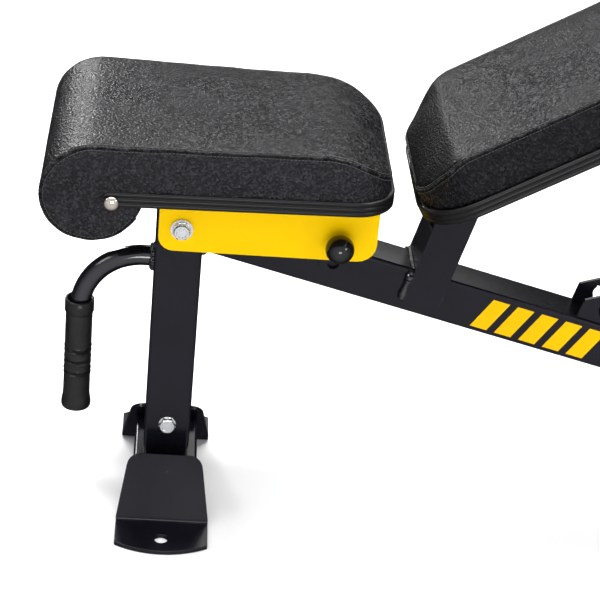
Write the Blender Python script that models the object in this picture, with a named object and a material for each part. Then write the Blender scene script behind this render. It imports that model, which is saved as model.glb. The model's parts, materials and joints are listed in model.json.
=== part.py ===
"""Adjustable weight bench: a sloping spine on a front post and a rear foot, a seat that tilts on a
bolt through the post, and a backrest held up by a strut whose foot bar runs in a notched ladder.

Metres, +Z up. The origin lies on the floor under the middle of the front post. X runs to the rear,
Y across the bench, and left is the -Y side, where the seat's pull knob is.
"""

from math import asin, atan2, cos, pi, radians, sin, sqrt

import bmesh
import bpy
from mathutils import Vector

# Frame tube
TUBE = 0.050
WALL = 0.0025
TUBE_CORNER = 0.004
GAP = 0.0003
ROUND_STEPS = 18

# Front post and front foot
POST_BOTTOM = 0.0555
POST_TOP = 0.357
POST_END_CORNER = 0.010
STUB_TOP = 0.130
LOWER_BOLT_Z = 0.0905
FOOT_WIDTH = 0.070
FOOT_HEIGHT = 0.050
PLATE_THICK = 0.005
PLATE_HALF_WIDTH = 0.050
PLATE_TAPER = 0.0105
PLATE_TOP_CORNER = 0.015
PLATE_TOP = (0.052, 0.068)
PLATE_BEND = (0.0875, PLATE_THICK)
PLATE_CORNER_Y = 0.129
PLATE_END_Y = 0.143
FLOOR_HOLE_Y = 0.120
FLOOR_HOLE_RADIUS = 0.0075

# Carrying handle
HANDLE_RADIUS = 0.011
HANDLE_Z = 0.2845
HANDLE_BEND = 0.066
HANDLE_X = -0.1015
HANDLE_BOTTOM = 0.100
GRIP_TOP = 0.228
GRIP_RADIUS = 0.0146
GRIP_MOUTH = 0.0130
GRIP_COLLAR_RADIUS = 0.0158
GRIP_FLARE_RADIUS = 0.0162
GRIP_BOTTOM = 0.0935
GRIP_GROOVES_Z = (0.168, 0.154, 0.140)
GRIP_GROOVE_DEPTH = 0.0012

# Spine
SPINE_SLOPE = radians(14.5)
SPINE_TOP_Z = 0.363
SPINE_END_X = 1.119

# Seat
SEAT_PIVOT = Vector((0.002, 0.0, 0.3345))
BOLT_RADIUS = 0.005
BOLT_FLATS = 0.0165
BOLT_HEAD = 0.0065
NUT_HEIGHT = 0.008
BOLT_TAIL = 0.0115
WASHER_RADIUS = 0.0118
WASHER_THICK = 0.002
BUSH_RADIUS = 0.011
SEAT_BASE_Z = 0.3965
SEAT_TOP_Z = 0.460
SEAT_REAR_X = 0.2115
ROLL_CENTRE = (-0.088, 0.411)
ROLL_RADIUS = 0.0505
SEAT_HALF_FRONT = 0.1215
SEAT_HALF_REAR = 0.109
SEAT_REAR_CORNER = 0.045
BOARD_THICK = 0.012
TRIM_HEIGHT = 0.016
TRIM_THICK = 0.003
TRIM_FRONT_X = -0.080
TRIM_SCREW_X = -0.0715
TRIM_SCREW_RISE = 0.005
TRIM_SCREW_DOME = [(0.0078, 0.0), (0.0074, 0.0016), (0.0058, 0.0032), (0.0030, 0.0043)]
ROLL_END_ANGLE = -0.28
SIDE_PLATE_IN = 0.0305
SIDE_PLATE_THICK = 0.004
SIDE_PLATE_FRONT_X = -0.024
SIDE_PLATE_REAR_X = 0.2035
SIDE_PLATE_BOTTOM = 0.309
SIDE_PLATE_TOP = 0.3919
TOP_PLATE_HALF = 0.055
TOP_PLATE_THICK = 0.004

# Seat pull pin, in the frame of the seat's pivot
SEAT_TILT = radians(10)
PIN = Vector((0.1636, 0.0, -0.0040))
PIN_NOSE_RADIUS = 0.0048
PIN_ROD_RADIUS = 0.003
PIN_NOSE_END = 0.0368
PIN_SLOT = 0.0054
INDEX_PLATE_X = (0.1475, 0.1800)
INDEX_PLATE_Z = (0.2925, 0.3430)
INDEX_PLATE_THICK = 0.004
INDEX_SETTINGS = 3
HOUSING_RADIUS = 0.0067
HOUSING_BORE = 0.0052
HOUSING_END = 0.0500
KNOB_Y = -0.051
KNOB_RADIUS = 0.0152
KNOB_CAVITY = 0.0074

# Backrest hinge, along (s) and above (n) the spine's top face
BRACKET_S = (0.257, 0.297)
BRACKET_LOW_N = -0.038
BRACKET_WEB_TOP_N = 0.050
HINGE_N = 0.0892
BRACKET_THICK = 0.005

# Backrest, along (u) and across (v) the board from the hinge
BACK_ANGLE = radians(30.3)
BACK_FRONT_U = -0.038
BACK_LENGTH = 0.790
BACK_HALF = 0.1205
BACK_BOARD_V = 0.0256
BACK_THICK = 0.064
BACK_FRONT_CORNER = 0.060
BACK_HEAD_CORNER = 0.060
BEAM_WIDTH = 0.044
BEAM_HEIGHT = 0.040
BEAM_FRONT_U = -0.022
BEAM_REAR_U = 0.620
MOUNT_U = (0.095, 0.565)
MOUNT_HALF = (0.02, 0.09)
SLEEVE_RADIUS = 0.010

# Support strut: it turns 1.7 times as far as the backrest, the opposite way
STRUT_U = 0.280
STRUT_LENGTH = 0.375
STRUT_FLAT_ANGLE = radians(36.5)
STRUT_RATIO = 1.7
STRUT_WIDTH = 0.028
STRUT_Y = (0.0245, 0.0305)
BRACE_RADIUS = 0.006
BRACE_SHARE = 0.55
FOOT_BAR_RADIUS = 0.007
BACK_MAX = radians(65)
NOTCH_ANGLES = [radians(a) for a in (0, 10, 20, 30.3, 38, 47, 56, 65)]
LADDER_Y = (0.017, 0.021)
LADDER_EDGE = 0.016

# Rear foot and wheels
REAR_FOOT_Z = (0.012, 0.062)
REAR_FOOT_HALF = 0.212
END_PLATE_HALF = 0.046
REAR_BOLT_Y = 0.036
CAP_LENGTH = 0.034
CAP_WALL = 0.004
WHEEL_RADIUS = 0.032
WHEEL_WIDTH = 0.022
WHEEL_Y = 0.150
WHEEL_BEHIND = 0.042
WHEEL_CLEARANCE = 0.004
AXLE_RADIUS = 0.004
EAR_RADIUS = 0.014
EAR_THICK = 0.003
EAR_Z = (0.014, 0.060)
END_PLATE_Z = (0.010, 0.080)

X, Y, Z = Vector((1, 0, 0)), Vector((0, 1, 0)), Vector((0, 0, 1))


def clear_scene():
    for obj in list(bpy.data.objects):
        bpy.data.objects.remove(obj, do_unlink=True)


def material(name, colour, roughness, metallic=0.0):
    made = bpy.data.materials.new(name)
    made.use_nodes = True
    shader = made.node_tree.nodes["Principled BSDF"]
    shader.inputs["Base Color"].default_value = (*colour, 1)
    shader.inputs["Roughness"].default_value = roughness
    shader.inputs["Metallic"].default_value = metallic
    return made


def frame(name, location, pitch=0.0, parent=None):
    """An empty on a joint's axis or at a frame's corner; pitch lifts its X axis."""
    empty = bpy.data.objects.new(name, None)
    empty.location = location
    empty.rotation_euler = (0, -pitch, 0)
    empty.parent = parent
    bpy.context.collection.objects.link(empty)
    return empty


def add(name, mesh, look, parent=None, smooth=False):
    obj = bpy.data.objects.new(name, mesh)
    mesh.materials.append(look)
    if smooth:
        mesh.shade_smooth()
        mesh.set_sharp_from_angle(angle=radians(35))
    obj.parent = parent
    bpy.context.collection.objects.link(obj)
    return obj


def loft(name, loops, ring=False):
    """A closed mesh through loops of equally many points; a ring joins its last loop to its first."""
    bm = bmesh.new()
    rows = [[bm.verts.new(point) for point in loop] for loop in loops]
    pairs = list(zip(rows, rows[1:])) + ([(rows[-1], rows[0])] if ring else [])
    for low, high in pairs:
        for i in range(len(low)):
            j = (i + 1) % len(low)
            bm.faces.new((low[i], low[j], high[j], high[i]))
    if not ring:
        bm.faces.new(rows[0][::-1])
        bm.faces.new(rows[-1])
    bmesh.ops.recalc_face_normals(bm, faces=bm.faces)
    mesh = bpy.data.meshes.new(name)
    bm.to_mesh(mesh)
    bm.free()
    return mesh


def arc(centre, radius, start, end, steps):
    """Points on a circle from one angle to another, both ends included."""
    turn = (end - start) / steps
    return [
        (centre[0] + radius * cos(start + k * turn), centre[1] + radius * sin(start + k * turn))
        for k in range(steps + 1)
    ]


def rounded(corners, steps=5):
    """An outline from (x, y, radius) corners, each rounded by an arc of that radius."""
    points = []
    for k, (x, y, radius) in enumerate(corners):
        here = Vector((x, y))
        before = Vector(corners[k - 1][:2]) - here
        after = Vector(corners[(k + 1) % len(corners)][:2]) - here
        if radius == 0:
            points.append((x, y))
            continue
        half = before.angle(after) / 2
        towards = (before.normalized() + after.normalized()).normalized()
        centre = here + towards * radius / sin(half)
        reach = (before.normalized() * radius * cos(half) / sin(half) + here) - centre
        turn = (pi - 2 * half) / steps
        sign = 1 if before.cross(after) < 0 else -1
        for i in range(steps + 1):
            angle = sign * i * turn
            points.append(
                (
                    centre.x + reach.x * cos(angle) - reach.y * sin(angle),
                    centre.y + reach.x * sin(angle) + reach.y * cos(angle),
                )
            )
    return points


def prism(name, outline, low, high, along="Y"):
    """An outline in the other two axes, XZ, YZ or XY, stretched along the third."""
    place = {
        "Y": lambda a, b, c: (a, c, b),
        "X": lambda a, b, c: (c, a, b),
        "Z": lambda a, b, c: (a, b, c),
    }[along]
    return loft(name, [[place(a, b, end) for a, b in outline] for end in (low, high)])


def box(name, low, high):
    corners = [(low[0], low[1]), (high[0], low[1]), (high[0], high[1]), (low[0], high[1])]
    return prism(name, corners, low[2], high[2], along="Z")


def square_loop(width, height, corner):
    half_w, half_h = width / 2, height / 2
    corners = [(-half_w, -half_h), (half_w, -half_h), (half_w, half_h), (-half_w, half_h)]
    return rounded([(x, y, corner) for x, y in corners], steps=3)


def hollow_tube(name, start, end, across, size, start_cut=None, end_cut=None, wall=WALL):
    """A rectangular tube between two points, its ends cut square or along planes with given normals."""
    start, end = Vector(start), Vector(end)
    along = (end - start).normalized()
    up = along.cross(across)
    outer = square_loop(*size, TUBE_CORNER)
    inner = square_loop(size[0] - 2 * wall, size[1] - 2 * wall, max(TUBE_CORNER - wall, 0.001))

    def end_loop(profile, point, cut):
        loop = []
        for a, b in profile:
            offset = Vector(across) * a + up * b
            loop.append(point + offset - along * (offset.dot(cut) / along.dot(cut)))
        return loop

    start_cut = Vector(start_cut or along)
    end_cut = Vector(end_cut or along)
    loops = [
        end_loop(outer, start, start_cut),
        end_loop(outer, end, end_cut),
        end_loop(inner, end, end_cut),
        end_loop(inner, start, start_cut),
    ]
    return loft(name, loops, ring=True)


def circle(radius, height, hexagon=False, steps=ROUND_STEPS):
    """Points round the Z axis; a hexagon takes the radius as half its width across flats."""
    points = []
    for k in range(steps):
        angle = 2 * pi * k / steps
        reach = radius
        if hexagon:
            reach = radius / cos((angle % (pi / 3)) - pi / 6)
        points.append((reach * cos(angle), reach * sin(angle), height))
    return points


def turned(name, profile, ring=False, steps=ROUND_STEPS):
    """A turned piece on the Z axis, from (radius, height) or (radius, height, hexagon) stations."""
    return loft(name, [circle(*station, steps=steps) for station in profile], ring)


def point_along(obj, location, axis):
    """Puts a piece modelled on the Z axis at a place, with Z turned onto the given axis."""
    obj.location = location
    obj.rotation_euler = Z.rotation_difference(Vector(axis)).to_euler()
    return obj


def cutter(name, mesh, parent=None):
    obj = bpy.data.objects.new(name, mesh)
    obj.parent = parent
    obj.hide_render = True
    obj.display_type = "WIRE"
    bpy.context.collection.objects.link(obj)
    return obj


def boolean(obj, other, operation="DIFFERENCE"):
    modifier = obj.modifiers.new(operation.title(), "BOOLEAN")
    modifier.operation = operation
    modifier.solver = "EXACT"
    modifier.object = other


def cross_hole(name, location, radius, length=0.1, axis=Y, parent=None):
    """A round cutter centred on a place, along Y unless told otherwise."""
    mesh = turned(name, [(radius, -length / 2), (radius, length / 2)])
    return point_along(cutter(name, mesh, parent), location, axis)


def hex_bolt(name, length, look):
    """Its washer-faced head stands above z = 0 and its shank runs down."""
    flats, head, shank = BOLT_FLATS, BOLT_HEAD, BOLT_RADIUS
    profile = [
        (shank * 0.8, -length),
        (shank, -length + 0.001),
        (shank, 0.0),
        (flats * 0.58, 0.0),
        (flats * 0.58, 0.0008),
        (flats / 2, 0.0008, True),
        (flats / 2, head * 0.82, True),
        (flats * 0.47, head),
    ]
    return add(name, turned(name, profile), look, smooth=True)


def hex_nut(name, look):
    flats, height, bore = BOLT_FLATS, NUT_HEIGHT, BOLT_RADIUS + GAP
    profile = [
        (flats * 0.47, 0.0),
        (flats / 2, height * 0.12, True),
        (flats / 2, height * 0.88, True),
        (flats * 0.47, height),
        (bore, height),
        (bore, 0.0),
    ]
    return add(name, turned(name, profile, ring=True), look, smooth=True)


def washer(name, outer, thick, look):
    inner = BOLT_RADIUS + GAP
    profile = [(outer, 0.0), (outer, thick), (inner, thick), (inner, 0.0)]
    return add(name, turned(name, profile, ring=True), look, smooth=True)


def make_looks():
    return {
        "black": material("black_powder_coat", (0.012, 0.012, 0.016), 0.38),
        "yellow": material("yellow_powder_coat", (1.0, 0.66, 0.0), 0.35),
        "vinyl": material("black_vinyl", (0.012, 0.012, 0.013), 0.45),
        "wood": material("plywood", (0.52, 0.36, 0.2), 0.75),
        "trim": material("black_edge_trim", (0.015, 0.015, 0.016), 0.4),
        "rubber": material("black_rubber", (0.012, 0.012, 0.012), 0.7),
        "plastic": material("black_plastic", (0.008, 0.008, 0.008), 0.15),
        "zinc": material("zinc_plate", (0.72, 0.73, 0.75), 0.3, 1.0),
        "chrome": material("chrome", (0.8, 0.8, 0.8), 0.08, 1.0),
        "steel": material("spring_steel", (0.5, 0.5, 0.52), 0.3, 1.0),
        "nylon": material("nylon", (0.8, 0.79, 0.75), 0.5),
    }


# ---------------------------------------------------------------- front post, foot and handle


def make_front_post(looks):
    mesh = hollow_tube("front_post", (0, 0, POST_BOTTOM), (0, 0, POST_TOP), Y, (TUBE, TUBE))
    post = add("front_post", mesh, looks["black"])
    half, corner = TUBE / 2 + 0.001, POST_END_CORNER
    outline = rounded(
        [
            (-half, POST_BOTTOM, corner),
            (half, POST_BOTTOM, corner),
            (half, POST_TOP + 0.01, 0),
            (-half, POST_TOP + 0.01, 0),
        ]
    )
    rounding = cutter("post_end_shape", prism("post_end_shape", outline, -0.03, 0.03))
    boolean(post, rounding, "INTERSECT")
    boolean(post, cross_hole("post_lower_hole", (0, 0, LOWER_BOLT_Z), BOLT_RADIUS + GAP))
    boolean(post, cross_hole("post_upper_hole", SEAT_PIVOT, BOLT_RADIUS + GAP))

    inside = TUBE - 2 * WALL - 2 * GAP
    low = (0, 0, FOOT_HEIGHT + GAP)
    mesh = hollow_tube("post_stub", low, (0, 0, STUB_TOP), Y, (inside, inside), wall=0.003)
    stub = add("post_stub", mesh, looks["black"])
    boolean(stub, cross_hole("stub_hole", (0, 0, LOWER_BOLT_Z), BOLT_RADIUS + GAP))


def make_lower_bolt(looks):
    bolt = hex_bolt("lower_bolt", TUBE + BOLT_TAIL, looks["zinc"])
    point_along(bolt, (0, -TUBE / 2 - GAP, LOWER_BOLT_Z), -Y)
    nut = hex_nut("lower_bolt_nut", looks["zinc"])
    point_along(nut, (0, TUBE / 2 + GAP, LOWER_BOLT_Z), Y)


def plate_slope():
    """Unit vector down the near foot plate's slope, as (outward, down), and its inner offset."""
    out, drop = PLATE_BEND[0] - PLATE_TOP[0], PLATE_TOP[1] - PLATE_BEND[1]
    length = sqrt(out * out + drop * drop)
    return out / length, drop / length


def make_foot_plate(name, side, looks):
    """A bent plate: a steep face welded to the foot tube's end, and a flange on the floor."""
    out, drop = plate_slope()
    top_in = (PLATE_TOP[0] - drop * PLATE_THICK, PLATE_TOP[1] - out * PLATE_THICK)
    inner_bend = top_in[0] + top_in[1] * out / drop
    section = rounded(
        [
            (PLATE_TOP[0], PLATE_TOP[1], 0),
            (PLATE_BEND[0], PLATE_BEND[1], 0.006),
            (PLATE_END_Y + 0.001, PLATE_THICK, 0),
            (PLATE_END_Y + 0.001, 0, 0),
            (inner_bend, 0, 0.010),
            (top_in[0], top_in[1], 0),
        ]
    )
    section = [(side * y, z) for y, z in section]
    mesh = prism(name, section, -PLATE_HALF_WIDTH - 0.001, PLATE_HALF_WIDTH + 0.001, along="X")
    plate = add(name, mesh, looks["black"])

    rise = PLATE_END_Y - PLATE_CORNER_Y
    radius = (PLATE_HALF_WIDTH**2 + rise**2) / (2 * rise)
    swing = pi / 2 - asin(PLATE_HALF_WIDTH / radius)
    end_arc = arc((0, PLATE_END_Y - radius), radius, swing, pi - swing, 12)
    inner = top_in[0] - 0.001
    outline = end_arc + [(-PLATE_HALF_WIDTH, inner), (PLATE_HALF_WIDTH, inner)]
    outline = [(x, side * y) for x, y in outline]
    shape = cutter(name + "_end", prism(name + "_end", outline, -0.01, 0.08, along="Z"))
    boolean(plate, shape, "INTERSECT")

    slope_length = (PLATE_TOP[1] - PLATE_BEND[1]) / drop
    full, top = PLATE_HALF_WIDTH + 0.0005, PLATE_HALF_WIDTH - PLATE_TAPER
    outline = rounded(
        [
            (-top, 0, PLATE_TOP_CORNER),
            (top, 0, PLATE_TOP_CORNER),
            (full, slope_length, 0),
            (full, 0.15, 0),
            (-full, 0.15, 0),
            (-full, slope_length, 0),
        ]
    )
    loops = []
    for depth in (-0.03, 0.1):
        start = (PLATE_TOP[0] + depth * drop, PLATE_TOP[1] + depth * out)
        loops.append([(x, side * (start[0] + d * out), start[1] - d * drop) for x, d in outline])
    boolean(plate, cutter(name + "_slope", loft(name + "_slope", loops)), "INTERSECT")
    hole = cross_hole(name + "_hole", (0, side * FLOOR_HOLE_Y, 0), FLOOR_HOLE_RADIUS, axis=Z)
    boolean(plate, hole)


def make_front_foot(looks):
    out, drop = plate_slope()
    inside = Vector((0, drop, out))
    reach = PLATE_TOP[0] + (PLATE_TOP[1] - FOOT_HEIGHT / 2) * out / drop - (PLATE_THICK + GAP) / drop
    near_cut = Vector((0, -inside.y, inside.z))
    mesh = hollow_tube(
        "front_foot_tube",
        (0, -reach, FOOT_HEIGHT / 2),
        (0, reach, FOOT_HEIGHT / 2),
        X,
        (FOOT_WIDTH, FOOT_HEIGHT),
        near_cut,
        inside,
    )
    add("front_foot_tube", mesh, looks["black"])
    make_foot_plate("foot_plate_left", -1, looks)
    make_foot_plate("foot_plate_right", 1, looks)


def make_handle(looks):
    """A bent tube welded to the post's front face, with a moulded grip on its upright leg."""
    start = -TUBE / 2 - GAP
    centre = (HANDLE_X + HANDLE_BEND, HANDLE_Z - HANDLE_BEND)
    route = [(start, HANDLE_Z)] + arc(centre, HANDLE_BEND, pi / 2, pi, 10) + [(HANDLE_X, HANDLE_BOTTOM)]
    curve = bpy.data.curves.new("handle_tube", "CURVE")
    curve.dimensions = "3D"
    curve.bevel_depth = HANDLE_RADIUS
    curve.bevel_resolution = 3
    curve.use_fill_caps = True
    spline = curve.splines.new("POLY")
    spline.points.add(len(route) - 1)
    for point, (x, z) in zip(spline.points, route):
        point.co = (x, 0, z, 1)
    tube = bpy.data.objects.new("handle_tube", curve)
    curve.materials.append(looks["black"])
    bpy.context.collection.objects.link(tube)

    bore = HANDLE_RADIUS + GAP
    groove = GRIP_RADIUS - GRIP_GROOVE_DEPTH
    profile = [
        (bore, HANDLE_BOTTOM - 0.002),
        (bore, GRIP_TOP - 0.013),
        (GRIP_MOUTH, GRIP_TOP - 0.012),
        (GRIP_MOUTH, GRIP_TOP),
        (GRIP_COLLAR_RADIUS, GRIP_TOP),
        (GRIP_COLLAR_RADIUS, GRIP_TOP - 0.015),
        (GRIP_RADIUS, GRIP_TOP - 0.017),
    ]
    for z in GRIP_GROOVES_Z:
        profile += [(GRIP_RADIUS, z + 0.0022), (groove, z), (GRIP_RADIUS, z - 0.0022)]
    flare = GRIP_FLARE_RADIUS
    profile += [(GRIP_RADIUS, 0.111), (flare, 0.104), (flare, 0.096), (0.0135, GRIP_BOTTOM)]
    grip = add("handle_grip", turned("handle_grip", profile), looks["rubber"], smooth=True)
    grip.location = (HANDLE_X, 0, 0)


# ---------------------------------------------------------------- spine and what is welded to it


def spine_line(x, n=0.0):
    """The height of the line n above the spine's top face, at x."""
    return SPINE_TOP_Z - x * sin(SPINE_SLOPE) / cos(SPINE_SLOPE) + n / cos(SPINE_SLOPE)


def make_spine(looks):
    x0 = TUBE / 2 + GAP
    mesh = hollow_tube(
        "spine_tube",
        (x0, 0, spine_line(x0, -TUBE / 2)),
        (SPINE_END_X, 0, spine_line(SPINE_END_X, -TUBE / 2)),
        Y,
        (TUBE, TUBE),
        X,
        X,
    )
    add("spine_tube", mesh, looks["black"])


def make_hinge_bracket(spine, hinge_s, looks):
    """A channel over the spine: two arms down its sides, joined in front by a web."""
    inner = TUBE / 2 + GAP
    outer = inner + BRACKET_THICK
    half = (BRACKET_S[1] - BRACKET_S[0]) / 2
    arm = [(BRACKET_S[0], BRACKET_LOW_N), (BRACKET_S[1], BRACKET_LOW_N)]
    arm += arc((hinge_s, HINGE_N), half, 0, pi, 12)
    web = [
        (BRACKET_S[0], GAP),
        (BRACKET_S[0] + BRACKET_THICK, GAP),
        (BRACKET_S[0] + BRACKET_THICK, BRACKET_WEB_TOP_N),
        (BRACKET_S[0], BRACKET_WEB_TOP_N),
    ]
    mesh = prism("hinge_bracket", arm, -outer, -inner)
    bracket = add("hinge_bracket", mesh, looks["black"], spine)
    far_arm = cutter("bracket_far_arm", prism("bracket_far_arm", arm, inner, outer), spine)
    joined = inner + BRACKET_THICK / 2
    web_piece = cutter("bracket_web", prism("bracket_web", web, -joined, joined), spine)
    boolean(bracket, web_piece, "UNION")
    boolean(bracket, far_arm, "UNION")
    hole = cross_hole("bracket_hole", (hinge_s, 0, HINGE_N), BOLT_RADIUS + GAP, parent=spine)
    boolean(bracket, hole)

    bolt = hex_bolt("hinge_bolt", 2 * outer + BOLT_TAIL, looks["zinc"])
    bolt.parent = spine
    point_along(bolt, (hinge_s, -outer - GAP, HINGE_N), -Y)
    nut = hex_nut("hinge_nut", looks["zinc"])
    nut.parent = spine
    point_along(nut, (hinge_s, outer + GAP, HINGE_N), Y)


def make_index_plate(looks):
    """A plate on the spine's left side whose slot the seat's pin runs in, widened at each setting."""
    front, rear = INDEX_PLATE_X
    low_z, high_z = INDEX_PLATE_Z
    corners = [(front, low_z, 0.006), (rear, low_z, 0.006), (rear, high_z, 0.008), (front, high_z, 0.008)]
    outline = rounded(corners)
    low, high = -TUBE / 2 - GAP - INDEX_PLATE_THICK, -TUBE / 2 - GAP
    plate = add("seat_index_plate", prism("seat_index_plate", outline, low, high), looks["black"])
    reach = PIN.length
    start = atan2(PIN.z, PIN.x)
    end = start - SEAT_TILT
    pivot = (SEAT_PIVOT.x, SEAT_PIVOT.z)
    slot = arc(pivot, reach + PIN_SLOT, start, end, 8) + arc(pivot, reach - PIN_SLOT, end, start, 8)
    boolean(plate, cutter("index_slot", prism("index_slot", slot, low - 0.01, high + 0.01)))
    for k in range(INDEX_SETTINGS):
        angle = start - SEAT_TILT * k / (INDEX_SETTINGS - 1)
        at = (pivot[0] + reach * cos(angle), (low + high) / 2, pivot[1] + reach * sin(angle))
        boolean(plate, cross_hole(f"index_hole_{k}", at, PIN_SLOT + 0.0009, 0.03))


def strut_path(back_angle, hinge_s):
    """Where the strut's foot bar is, as (s, n) on the spine, for the backrest's angle above level."""
    lean = STRUT_FLAT_ANGLE + (STRUT_RATIO - 1) * back_angle
    x = STRUT_U * cos(back_angle) + STRUT_LENGTH * cos(lean)
    z = STRUT_U * sin(back_angle) - STRUT_LENGTH * sin(lean)
    return Vector(
        (
            hinge_s + x * cos(SPINE_SLOPE) - z * sin(SPINE_SLOPE),
            HINGE_N + x * sin(SPINE_SLOPE) + z * cos(SPINE_SLOPE),
        )
    )


def make_ladder(spine, hinge_s, looks):
    """Two plates on the spine's top. Their slot follows the foot bar, with a notch at each setting."""
    steps = 18
    extra = radians(0.6)
    angles = [BACK_MAX + extra - (BACK_MAX + 2 * extra) * k / steps for k in range(steps + 1)]
    middle = [strut_path(a, hinge_s) for a in angles]
    across = []
    for k in range(len(middle)):
        run = middle[min(k + 1, steps)] - middle[max(k - 1, 0)]
        across.append(Vector((-run.y, run.x)).normalized())
    width = FOOT_BAR_RADIUS + 0.0007
    slot = [m - a * width for m, a in zip(middle, across)]
    slot += [m + a * width for m, a in reversed(list(zip(middle, across)))]
    top = [m + a * LADDER_EDGE for m, a in zip(middle, across)]
    ends = (middle[0].x - 0.020, middle[-1].x + 0.020)
    outline = [(ends[0], GAP), (ends[1], GAP), (ends[1], middle[-1].y + 0.004)]
    outline += [tuple(p) for p in reversed(top)] + [(ends[0], middle[0].y + 0.004)]
    for name, side in (("ladder_plate_left", -1), ("ladder_plate_right", 1)):
        low, high = sorted((side * LADDER_Y[0], side * LADDER_Y[1]))
        plate = add(name, prism(name, outline, low, high), looks["black"], spine)
        cuts = (low - 0.01, high + 0.01)
        shape = prism(name + "_slot", [tuple(p) for p in slot], *cuts)
        boolean(plate, cutter(name + "_slot", shape, spine))
        for k, angle in enumerate((0, BACK_MAX)):
            at = strut_path(angle, hinge_s)
            place = (at.x, (low + high) / 2, at.y)
            boolean(plate, cross_hole(f"{name}_end_{k}", place, width, 0.03, parent=spine))
        for k, angle in enumerate(NOTCH_ANGLES):
            at = strut_path(angle, hinge_s)
            place = (at.x + 0.0015, (low + high) / 2, at.y - 0.0038)
            radius = FOOT_BAR_RADIUS + 0.0005
            hole = cross_hole(f"{name}_notch_{k}", place, radius, 0.03, parent=spine)
            boolean(plate, hole)


# ---------------------------------------------------------------- rear foot and wheels


def make_rear_foot(looks):
    low, high = REAR_FOOT_Z
    x0 = SPINE_END_X + GAP
    near = (x0, -END_PLATE_HALF, END_PLATE_Z[0])
    mesh = box("spine_end_plate", near, (x0 + PLATE_THICK, END_PLATE_HALF, END_PLATE_Z[1]))
    plate = add("spine_end_plate", mesh, looks["black"])
    x1 = x0 + PLATE_THICK + GAP
    middle = (x1 + TUBE / 2, 0, (low + high) / 2)
    mesh = hollow_tube(
        "rear_foot_tube",
        (middle[0], -REAR_FOOT_HALF, middle[2]),
        (middle[0], REAR_FOOT_HALF, middle[2]),
        X,
        (TUBE, TUBE),
    )
    tube = add("rear_foot_tube", mesh, looks["black"])
    for name, side in (("left", -1), ("right", 1)):
        at = (middle[0] - 0.02, side * REAR_BOLT_Y, middle[2])
        hole = cross_hole("rear_hole_" + name, at, BOLT_RADIUS + GAP, 0.2, X)
        boolean(plate, hole)
        boolean(tube, hole)
        head = (x0 - GAP, side * REAR_BOLT_Y, middle[2])
        bolt = hex_bolt("rear_bolt_" + name, 0.0675, looks["zinc"])
        point_along(bolt, head, -X)
        nut = hex_nut("rear_nut_" + name, looks["zinc"])
        point_along(nut, (x1 + TUBE + GAP, side * REAR_BOLT_Y, middle[2]), X)
        make_foot_cap("rear_foot_cap_" + name, side, middle, looks)
        make_wheel(name, side, x1 + TUBE + GAP, looks)


def make_foot_cap(name, side, middle, looks):
    """A rubber cap over the tube's end, thick underneath, which the bench stands on."""
    half = TUBE / 2 + CAP_WALL
    outline = rounded(
        [
            (middle[0] - half - 0.002, 0, 0.004),
            (middle[0] + half + 0.002, 0, 0.004),
            (middle[0] + half, REAR_FOOT_Z[1] + CAP_WALL, 0.006),
            (middle[0] - half, REAR_FOOT_Z[1] + CAP_WALL, 0.006),
        ],
        steps=3,
    )
    out = side * (REAR_FOOT_HALF + CAP_WALL)
    back = side * (REAR_FOOT_HALF - CAP_LENGTH)
    cap = add(name, prism(name, outline, *sorted((out, back))), looks["rubber"])
    pocket = TUBE / 2 + GAP
    deep, mouth = sorted((side * (REAR_FOOT_HALF + GAP), side * (REAR_FOOT_HALF - 2 * CAP_LENGTH)))
    inner = [(x + middle[0], z + middle[2]) for x, z in square_loop(2 * pocket, 2 * pocket, TUBE_CORNER)]
    boolean(cap, cutter(name + "_pocket", prism(name + "_pocket", inner, deep, mouth)))


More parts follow.
